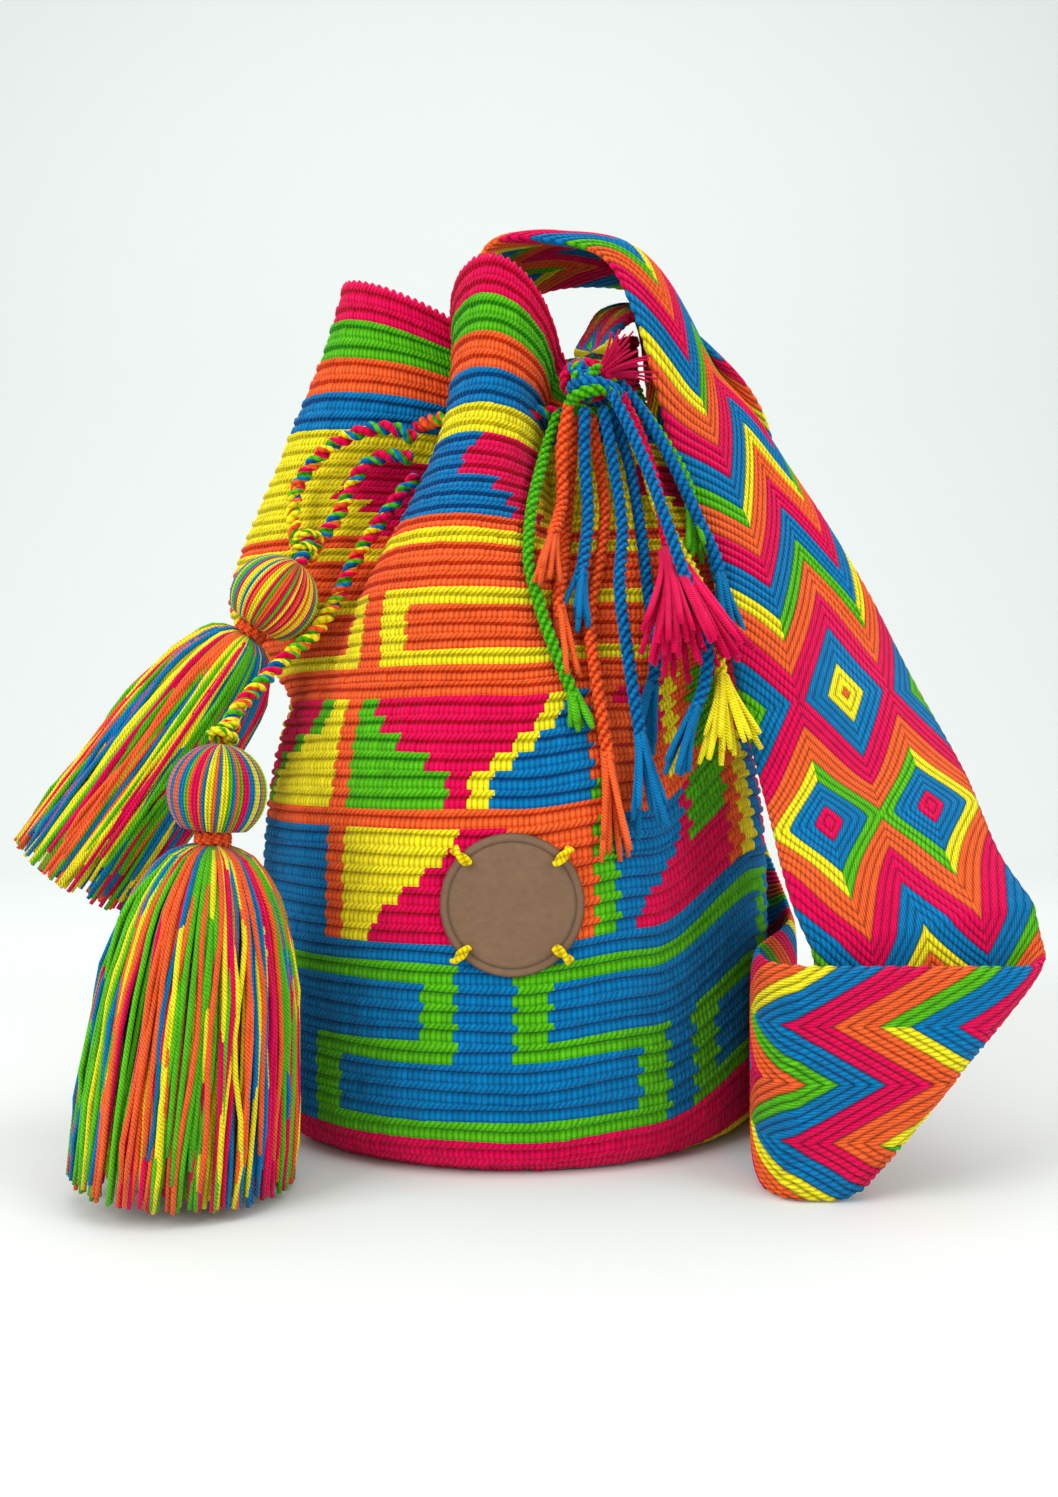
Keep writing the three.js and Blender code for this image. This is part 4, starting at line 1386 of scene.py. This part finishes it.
# %% Strands of the weave
STRAND_RUN = 0.058 / STRANDS_PER_CYCLE
SLANT_RUN = 0.034
PATTERN_TURN = 0.352
PATTERN_BACK = 0.4005
PATTERN_ORIGIN = 0.3068
BACKWARD_PACE = 1.14
DOT_DIP = 0.0075
DOT_WIDTH = 0.011
FOLD_START = 0.443
FOLD_SHIFT = 0.0202
FOLD_FADE = 0.05
DIAMOND_DELAY = 0.025
SLANT_FADE = 0.09
TURN_MARGIN = 0.055
TURN_FADE = 0.06
STRAP_COLUMNS = 32

spine_share = np.linspace(0, 1, SPINE_STEPS)
spine_reach = lengths_along(strap_surface(spine_share, np.zeros(SPINE_STEPS)))
STRAP_LENGTH = spine_reach[-1]


def leg_height(width_share):
    return 1 - np.abs((4 * width_share) % 2 - 1)


def weave_value(along, width_share):
    """Strands counted along the band, less the slant.

    The count runs backwards where the weave was turned.
    """
    back = np.clip(along - PATTERN_TURN, 0, PATTERN_BACK - PATTERN_TURN)
    shift = FOLD_SHIFT * smooth_ramp(along - FOLD_START, FOLD_FADE)
    dip = DOT_DIP * np.exp(-(((along - PATTERN_BACK) / DOT_WIDTH) ** 2))
    folded = along - (1 + BACKWARD_PACE) * back + shift - dip
    return (folded - SLANT_RUN * leg_height(width_share) - PATTERN_ORIGIN) / STRAND_RUN


def strap_grid():
    """Rings that follow the slanting strands, except near the ends and the turn."""
    start = np.arange(0, STRAP_LENGTH, STRAND_RUN / 4)
    width_share = np.linspace(0, 1, STRAP_COLUMNS + 1)
    ends = smooth_ramp(start, SLANT_FADE) * smooth_ramp(STRAP_LENGTH - start, SLANT_FADE)
    from_turn = np.abs(start - 0.5 * (PATTERN_TURN + FOLD_START))
    aligned = smooth_ramp(from_turn - TURN_MARGIN, TURN_FADE)
    slant = SLANT_RUN * ends * aligned
    along = start[:, None] + slant[:, None] * leg_height(width_share)[None, :]
    along = np.clip(along, 0, STRAP_LENGTH)
    return along, np.broadcast_to(width_share, along.shape), aligned


print("strap length:", round(float(STRAP_LENGTH), 3), "m, rings slanted by", SLANT_RUN)

# %% The band
STRAP_RELIEF = 0.0013
STRAND_ROUND = 0.7
STRAND_MEAN = 0.75
EDGE_SCALLOP = 0.014
EDGE_THINNESS = 0.03
STROKES_ACROSS = 1000 / 2 * 2.01 / 2.4
STROKES_PER_STRAND = 0.8


def both_sides(values):
    joined = np.concatenate([values, values[:, ::-1]], axis=1)
    return np.concatenate([joined, joined[:, :1]], axis=1)


def diamond_colours(along, width_share, value):
    """Green or yellow for each face: the mesh's colour swaps with every cycle."""
    share = (width_share[:-1, :-1] + width_share[:-1, 1:]) / 2
    cycle = np.floor((value[:-1, :-1] + value[1:, 1:]) / 2 / STRANDS_PER_CYCLE)
    cycle = cycle + (along[:-1, :-1] > FOLD_START + DIAMOND_DELAY)
    is_green = (np.abs(share - 0.5) < 0.25) ^ (cycle % 2 == 0)
    third = np.where(is_green[..., None], YARN["green"], YARN["yellow"])
    return np.concatenate([third, third[:, -1:], third[:, ::-1], third[:, :1]], axis=1)


def build_strap():
    along, width_share, aligned = strap_grid()
    across = 2 * width_share - 1
    value = weave_value(along, width_share)
    ridge = np.abs(np.sin(math.pi * value)) ** STRAND_ROUND
    scallop = 1 + EDGE_SCALLOP * np.abs(across) ** 10 * ridge
    middle = strap_surface(np.interp(along, spine_reach, spine_share), across * scallop)
    normal = unit(np.cross(np.gradient(middle, axis=0), np.gradient(middle, axis=1)))
    plump = np.maximum(1 - np.abs(across) ** 6, EDGE_THINNESS) ** 0.4
    relief = STRAP_RELIEF * (ridge - STRAND_MEAN) * plump * aligned[:, None]
    lift = (STRAP_THICKNESS / 2 * plump + relief)[..., None]
    rings = np.concatenate([middle + normal * lift, (middle - normal * lift)[:, ::-1]], axis=1)
    stroke = both_sides(across * STRAP_WIDTH * STROKES_ACROSS + value * STROKES_PER_STRAND)
    dye = diamond_colours(along, width_share, value)
    skin = skin_rings(rings, dye, stroke)
    strand = {"strand": skin_rings(rings, dye, both_sides(value))[3]}
    add_piece("strap_band", [skin], STRAP_YARN, "strap", extra=strand)


build_strap()

# %% [markdown]
# ## The knot
# The strap's second end is wrapped with yarn and ends in a knot. The wraps are
# closed loops laid over an ellipsoid, each tilted another way. Two collars bind
# the warp ends below the knot, and fine threads stick out of it.

# %% Wraps of the knot
KNOT_CENTRE = np.array([0.029, -0.053, 0.300])
KNOT_SIZE = np.array([0.011, 0.009, 0.009])
KNOT_YARN = 0.0052
KNOT_PITCH = 0.011
KNOT_OFFSET = 0.22
KNOT_SINK = 0.45
KNOT_WRAPS = (
    ((1.0, 0.15, 0.25), "blue"), ((0.8, 0.1, -0.6), "green"), ((0.55, -0.3, 0.8), "blue"),
    ((0.15, 0.9, 0.5), "magenta"), ((0.9, -0.5, 0.1), "green"),
)

COLLAR_RADIUS = 0.0095
COLLARS = (
    ((0.0315, -0.0555, 0.2905), (0.15, -0.25, -1), "green"),
    ((0.0325, -0.0550, 0.2945), (-0.2, -0.1, -1), "blue"),
)

THREAD_ROUTE = [(29, -54, 297), (32, -55, 299), (35, -56, 301.5), (38, -56, 304)]
THREAD_LENGTH = 0.019
THREADS = 34
THREAD_SPREAD = 0.011
THREAD_BUNDLE = 0.0022
THREAD_RADIUS = 0.00045


def knot_wrap(axis, offset):
    axis = unit(np.array(axis, float))
    first = unit(np.cross(axis, (0, 0.3, 1.0)))
    ring = spokes(np.linspace(0, 2 * math.pi, 33), first, np.cross(axis, first))
    circle = math.sqrt(1 - offset**2) * ring + offset * axis
    return KNOT_CENTRE + circle * (KNOT_SIZE - KNOT_SINK * KNOT_YARN)


def knot_yarn(route, colour, steps):
    return twisted_cord(route, KNOT_YARN, KNOT_PITCH, shades(YARN[colour]), steps, strokes=1.5)[0]


def build_knot():
    skins = []
    for step, (axis, colour) in enumerate(KNOT_WRAPS):
        offset = KNOT_OFFSET * ((step % 3) - 1)
        skins.append(knot_yarn(knot_wrap(axis, offset), colour, 60))
    for centre, axis, colour in COLLARS:
        skins.append(knot_yarn(small_ring(centre, axis, COLLAR_RADIUS), colour, 90))
    threads = brush_lines(
        metres(THREAD_ROUTE), THREAD_LENGTH, THREADS, THREAD_SPREAD, THREAD_BUNDLE
    )
    skins.extend(strand_skins(threads, THREAD_RADIUS, [YARN["magenta"]] * THREADS, strokes=0.8))
    add_piece("strap_knot_yarn", skins, CORD_YARN, "strap_knot")


build_knot()

# %% [markdown]
# ## The tassels
# A tassel is a hank of yarn folded over a core and bound below it. The head
# shows single yarns side by side, and the skirt is their cut ends. The skirt's
# strands are drawn at random, most of them near its outside, because the inner
# ones can't be seen.

# %% Tassel measures
BALL_RADIUS = 0.0168
BINDING_TOP = 0.75 * BALL_RADIUS
BINDING_HEIGHT = 0.006
BINDING_RADIUS = 0.0053
BINDING_TURNS = 3.1
BINDING_STEPS = 60
BINDING_START = 0.0014
BINDING_ROOM = 0.002
BINDING_YARN = 0.0026
BINDING_PITCH = 0.006
SKIRT_LENGTH = 0.114
HEAD_YARNS = 80
HEAD_SAMPLES = 3
# Painted shade across each yarn of the head: darker at its sides, where the yarns meet, a little
# lighter on its crown.
HEAD_YARN_SHADE = (0.8, 1.05, 0.8)
HEAD_GROOVE = 0.0007
HEAD_LEVELS = 30
HEAD_STROKE = 1.3
NECK_TILT = math.acos(-0.75)
NECK_RADIUS = 0.0055
NECK_TUCK = 0.0008
HANK_COLOURS = (ORANGE, GREEN, YELLOW, MAGENTA, BLUE)
DOUBLED_YARNS = 0.3


def hank_colours(count):
    """Neighbouring yarns of different colours, some of them in pairs."""
    picks = []
    while len(picks) < count:
        colour = random_yarn.choice([c for c in HANK_COLOURS if not picks or c != picks[-1]])
        picks.extend([colour] * (2 if random_yarn.uniform() < DOUBLED_YARNS else 1))
    return np.array(picks[:count])


# %% The short ties between the drawstring and the heads
TIE_YARNS = PALETTE[[YELLOW, ORANGE, YELLOW, GREEN, ORANGE]]
TIE_PITCH = 0.0085
LINK_ROUTE = [(-83.5, -44, 237.5), (-83.2, -50, 233.5), (-84, -56, 228.5), (-85.6, -60.5, 222.5)]

# Route, thickness and yarns. A ring has a centre, an axis and a radius
TIES = {
    "lower_tassel": [
        (small_ring((-0.1018, -0.1125, 0.1572), (-0.2, -0.5, -1), 0.0042), 0.0034, TIE_YARNS),
        (small_ring((-0.1010, -0.1105, 0.1600), (0.25, -0.3, -1), 0.0036), 0.0030, TIE_YARNS),
    ],
    "upper_tassel": [
        (metres(LINK_ROUTE), DRAWSTRING_DIAMETER, DRAWSTRING_COLOURS),
        (small_ring((-0.0836, -0.0535, 0.2305), (0.1, -0.8, -0.7), 0.0040), 0.0034, TIE_YARNS),
        (small_ring((-0.0838, -0.0465, 0.2355), (0.35, -0.5, -0.6), 0.0058), 0.0032, TIE_YARNS),
    ],
}


def tie_skins(name):
    return [
        twisted_cord(route, size, TIE_PITCH, yarns, 60, mixed=DRAWSTRING_PLIES)[0]
        for route, size, yarns in TIES[name]
    ]


print("ties:", {name: len(ties) for name, ties in TIES.items()})


# %% Head and binding
def tassel_head(name, centre, axis):
    ahead, side, up = axis_frame(axis)
    tilt = np.append(np.linspace(0.06, NECK_TILT, HEAD_LEVELS), NECK_TILT + 0.02)
    distance = -BALL_RADIUS * np.cos(tilt)
    radius = BALL_RADIUS * np.sin(tilt)
    distance[-1] = BINDING_TOP + NECK_TUCK
    radius[-1] = NECK_RADIUS
    columns = HEAD_YARNS * HEAD_SAMPLES
    phase = np.arange(columns) / HEAD_SAMPLES
    groove = HEAD_GROOVE * (np.abs(np.sin(math.pi * phase)) ** 0.6 - 0.6)
    lift = groove[None, :] * np.clip(radius / 0.008, 0.2, 1)[:, None]
    around = spokes(np.arange(columns) / columns * 2 * math.pi, side, up)
    reach = (radius[:, None] + lift)[..., None] * around[None]
    drop = (lift * np.cos(tilt)[:, None])[..., None] * ahead
    rings = centre + distance[:, None, None] * ahead + reach - drop
    colours = PALETTE[hank_colours(HEAD_YARNS)]
    colours = colours * random_yarn.uniform(0.88, 1.06, (HEAD_YARNS, 1))
    # Each yarn's colour gets painted shade across its width.
    dye = np.repeat(colours, HEAD_SAMPLES, axis=0) * np.tile(HEAD_YARN_SHADE, HEAD_YARNS)[:, None]
    dye = np.broadcast_to(dye, (len(tilt) - 1, columns, 3))
    run = lengths_along(np.column_stack([distance, radius]))
    twist = run[:, None] * 1000 / HEAD_STROKE + np.arange(columns + 1)[None, :] / HEAD_SAMPLES
    skins = [skin_rings(rings, dye, twist)] + tie_skins(name)
    add_piece(f"{name}_head_yarn", skins, TASSEL_YARN, f"{name}_head")


def tassel_binding(name, centre, axis):
    ahead, side, up = axis_frame(axis)
    around = spokes(np.linspace(0, BINDING_TURNS * 2 * math.pi, BINDING_STEPS), side, up)
    climb = np.linspace(0, BINDING_HEIGHT - BINDING_ROOM, BINDING_STEPS)
    rise = BINDING_TOP + BINDING_START + climb
    route = centre + rise[:, None] * ahead + BINDING_RADIUS * around
    yarns = [YARN["orange"], YARN["orange"] * 0.9]
    skin, _ = twisted_cord(route, BINDING_YARN, BINDING_PITCH, yarns, 200, strokes=1.2)
    add_piece(f"{name}_binding_yarn", [skin], TASSEL_YARN, f"{name}_binding")


# %% Skirts
# Share of the length, and radius in millimetres
STANDING_SKIRT = (
    (0, 4.5), (0.012, 10), (0.04, 15.5), (0.09, 20), (0.2, 27), (0.45, 34), (0.8, 37.5), (1, 38)
)
LYING_SKIRT = (
    (0, 4.5), (0.012, 9), (0.04, 13.5), (0.09, 17), (0.2, 21.5), (0.45, 25), (0.8, 26.5), (1, 27.5)
)
SKIRT_SHARES = np.array([
    0, 0.012, 0.035, 0.07, 0.12, 0.18, 0.25, 0.33, 0.42, 0.52, 0.63, 0.75, 0.88, 1.0
])
SKIRT_STRAND = 0.00095
OUTER_SHARE = 0.55
OUTER_DEPTH = 0.92
INNER_DEPTH = 0.55
UNEVEN_CUT = 0.16
SKIRT_SWAY = 0.045
SKIRT_CURL = 0.02
SKIRT_WAVE = 0.0005
SECTORS = 48
MIXED_YARNS = 0.6
TIE_ANGLE = 1.75
TIE_SPREAD = 0.07


def skirt_radius(profile):
    """The profile with its corners rounded, except at the binding."""
    shares, radii = np.array(profile).T
    dense = np.linspace(0, 1, 201)
    drawn = np.interp(dense, shares, radii / 1000)
    smooth = np.convolve(np.pad(drawn, 8, mode="edge"), np.full(17, 1 / 17), mode="valid")
    smooth[:9] = drawn[:9]
    return np.interp(SKIRT_SHARES, dense, smooth)


def skirt_lines(centre, axis, profile, count):
    ahead, side, up = axis_frame(axis)
    outline = skirt_radius(profile)
    top = BINDING_TOP + BINDING_HEIGHT
    share = SKIRT_SHARES
    lines = []
    angles = []
    for _ in range(count):
        turn = random_yarn.uniform(0, 2 * math.pi)
        is_outer = random_yarn.uniform() < OUTER_SHARE
        low, high = (OUTER_DEPTH, 1.0) if is_outer else (INNER_DEPTH, OUTER_DEPTH)
        depth = random_yarn.uniform(low, high)
        reach = SKIRT_LENGTH * (1 - UNEVEN_CUT * random_yarn.uniform() ** 3)
        sway = random_yarn.normal(0, SKIRT_SWAY) * share
        sway = sway + random_yarn.normal(0, SKIRT_CURL) * np.sin(9 * share)
        wave = random_yarn.normal(0, SKIRT_WAVE)
        wave = wave * np.sin(14 * share + random_yarn.uniform(0, 6))
        away = spokes(turn + sway, side, up)
        line = centre + (top + reach * share)[:, None] * ahead
        lines.append(line + (outline * depth + wave)[:, None] * away)
        angles.append(turn)
    return lines, np.array(angles)


def tassel_skirt(name, centre, axis, profile, count):
    lines, angles = skirt_lines(centre, axis, profile, count)
    sectors = hank_colours(SECTORS)
    sector = (angles / (2 * math.pi) * SECTORS).astype(int) % SECTORS
    mixed = random_yarn.uniform(size=count) < MIXED_YARNS
    picks = np.where(mixed, random_yarn.choice(HANK_COLOURS, count), sectors[sector])
    picks = np.where(np.abs(angles - TIE_ANGLE) < TIE_SPREAD, ORANGE, picks)
    colours = PALETTE[picks] * random_yarn.uniform(0.85, 1.06, (count, 1))
    skins = strand_skins(lines, SKIRT_STRAND, colours, strokes=1.4)
    add_piece(f"{name}_skirt_yarn", skins, TASSEL_YARN, f"{name}_skirt")


TASSELS = {
    "lower_tassel": ((-0.102, -0.119, 0.1378), (-0.09, 0, -1), STANDING_SKIRT, 540),
    "upper_tassel": ((-0.094, -0.061, 0.212), (-0.57, -0.02, -0.82), LYING_SKIRT, 430),
}
for name, (centre, axis, profile, count) in TASSELS.items():
    tassel_head(name, np.array(centre), axis)
    tassel_binding(name, np.array(centre), axis)
    tassel_skirt(name, np.array(centre), axis, profile, count)

# %% [markdown]
# ## The leather patch
# A round piece of leather, bent to the wall and held by four stitches. It is
# plain, with a pressed line inside its edge. Its grain and its worn places are
# in the material. The pressed line and the cut edge, where it rounds down, get
# painted shade in the mesh's colour.

# %% Leather
PATCH_RADIUS = 0.0255
PATCH_THICKNESS = 0.0022
PATCH_HEIGHT = 0.0976
PATCH_GAP = 0.0004
PATCH_BROWN = linear(122, 92, 67)
GRAIN_SCALE = 1100
PORE_SCALE = 420
STAIN_SCALE = 55


def leather_material():
    material, tree, shader = principled_material("patch_leather", 0.62, 0.35)
    place = tree.nodes.new("ShaderNodeTexCoord").outputs["Object"]
    grain = tree.nodes.new("ShaderNodeTexVoronoi")
    grain.inputs["Scale"].default_value = GRAIN_SCALE
    tree.links.new(place, grain.inputs["Vector"])
    pores = noise_node(tree, place, PORE_SCALE, 6).outputs["Fac"]
    stain = noise_node(tree, place, STAIN_SCALE, 3).outputs["Fac"]
    dye = attribute_node(tree, "yarn").outputs["Color"]
    tone = math_node(
        tree, "MULTIPLY", remap(tree, stain, 0.84, 1.16), remap(tree, pores, 0.82, 1.18)
    )
    scaled_colour(tree, dye, tone, shader.inputs["Base Color"])
    cells = math_node(tree, "MULTIPLY", grain.outputs["Distance"], 0.6)
    bump_node(tree, math_node(tree, "ADD", pores, cells), 0.0004, 0.6, shader.inputs["Normal"])
    return material


PATCH_LEATHER = leather_material()
print("leather material:", PATCH_LEATHER.name)

# %% The patch and its stitches
# Share of the radius, lift in tenths of a millimetre, and tone up to the next ring; the tone is
# painted shade, darker in the pressed groove, down the cut edge and beneath
PATCH_PROFILE = (
    (0.1, 0, 1), (0.3, 0, 1), (0.5, 0, 1), (0.68, 0, 1), (0.8, 0, 1), (0.84, 0, 0.9),
    (0.865, -1.5, 0.55), (0.88, -3.2, 0.55), (0.895, -1.5, 0.9), (0.92, 0, 1),
    (0.955, -0.3, 0.9), (0.98, -1.6, 0.62), (0.995, -4, 0.45), (1, -7, 0.4), (1, -22, 0.4),
    (0.6, -22, 0.4),
)
PATCH_SIDES = 96
STITCH_THREAD = linear(255, 226, 8)
STITCH_SIZE = 0.0038
STITCH_PITCH = 0.012
STITCH_HEIGHT = PATCH_GAP + PATCH_THICKNESS + 0.0017
STITCH_RADIUS = PATCH_RADIUS - 0.0012

# Steps out from the stitch's middle, and lifts
STITCH_ARCH = ((-0.0036, -0.0009), (-0.0018, 0.0002), (0.0016, 0.0002), (0.0042, -0.0011))


def front_point(across, up, lift):
    """A spot in front of the wall, from its offset to the patch's centre."""
    radius = np.interp(PATCH_HEIGHT, profile_line[:, 1], profile_line[:, 0]) + lift
    return polar(np.degrees(across / BODY_RADIUS), radius, PATCH_HEIGHT + up)


def build_patch():
    shares, lifts, tones = np.array(PATCH_PROFILE).T
    lifts = PATCH_GAP + PATCH_THICKNESS + lifts / 10000
    angle = np.linspace(0, 2 * math.pi, PATCH_SIDES, endpoint=False)
    radius = (PATCH_RADIUS * shares)[:, None]
    lift = np.broadcast_to(lifts[:, None], (len(shares), PATCH_SIDES))
    rings = front_point(radius * np.cos(angle), radius * np.sin(angle), lift)
    # Painted shade: each ring's tone darkens the brown in the groove, down the edge and beneath the
    # patch.
    brown = PATCH_BROWN * tones[:-1, None, None]
    brown = np.broadcast_to(brown, (len(shares) - 1, PATCH_SIDES, 3))
    skin = skin_rings(rings, brown, np.zeros((len(shares), PATCH_SIDES + 1)))
    add_piece("leather_patch_face", [skin], PATCH_LEATHER, "leather_patch")


def build_stitches():
    for corner, angle in enumerate((135, 45, 225, 315), 1):
        name = f"patch_stitch_{corner}"
        turn = math.radians(angle)
        route = []
        for step, lift in STITCH_ARCH:
            reach = STITCH_RADIUS + step
            spot = (reach * math.cos(turn), reach * math.sin(turn))
            route.append(front_point(*spot, STITCH_HEIGHT + lift))
        plies = [STITCH_THREAD, STITCH_THREAD * 0.92]
        skin, _ = twisted_cord(route, STITCH_SIZE, STITCH_PITCH, plies, 30, strokes=1.2)
        add_piece(f"{name}_yarn", [skin], CORD_YARN, name)


build_patch()
build_stitches()
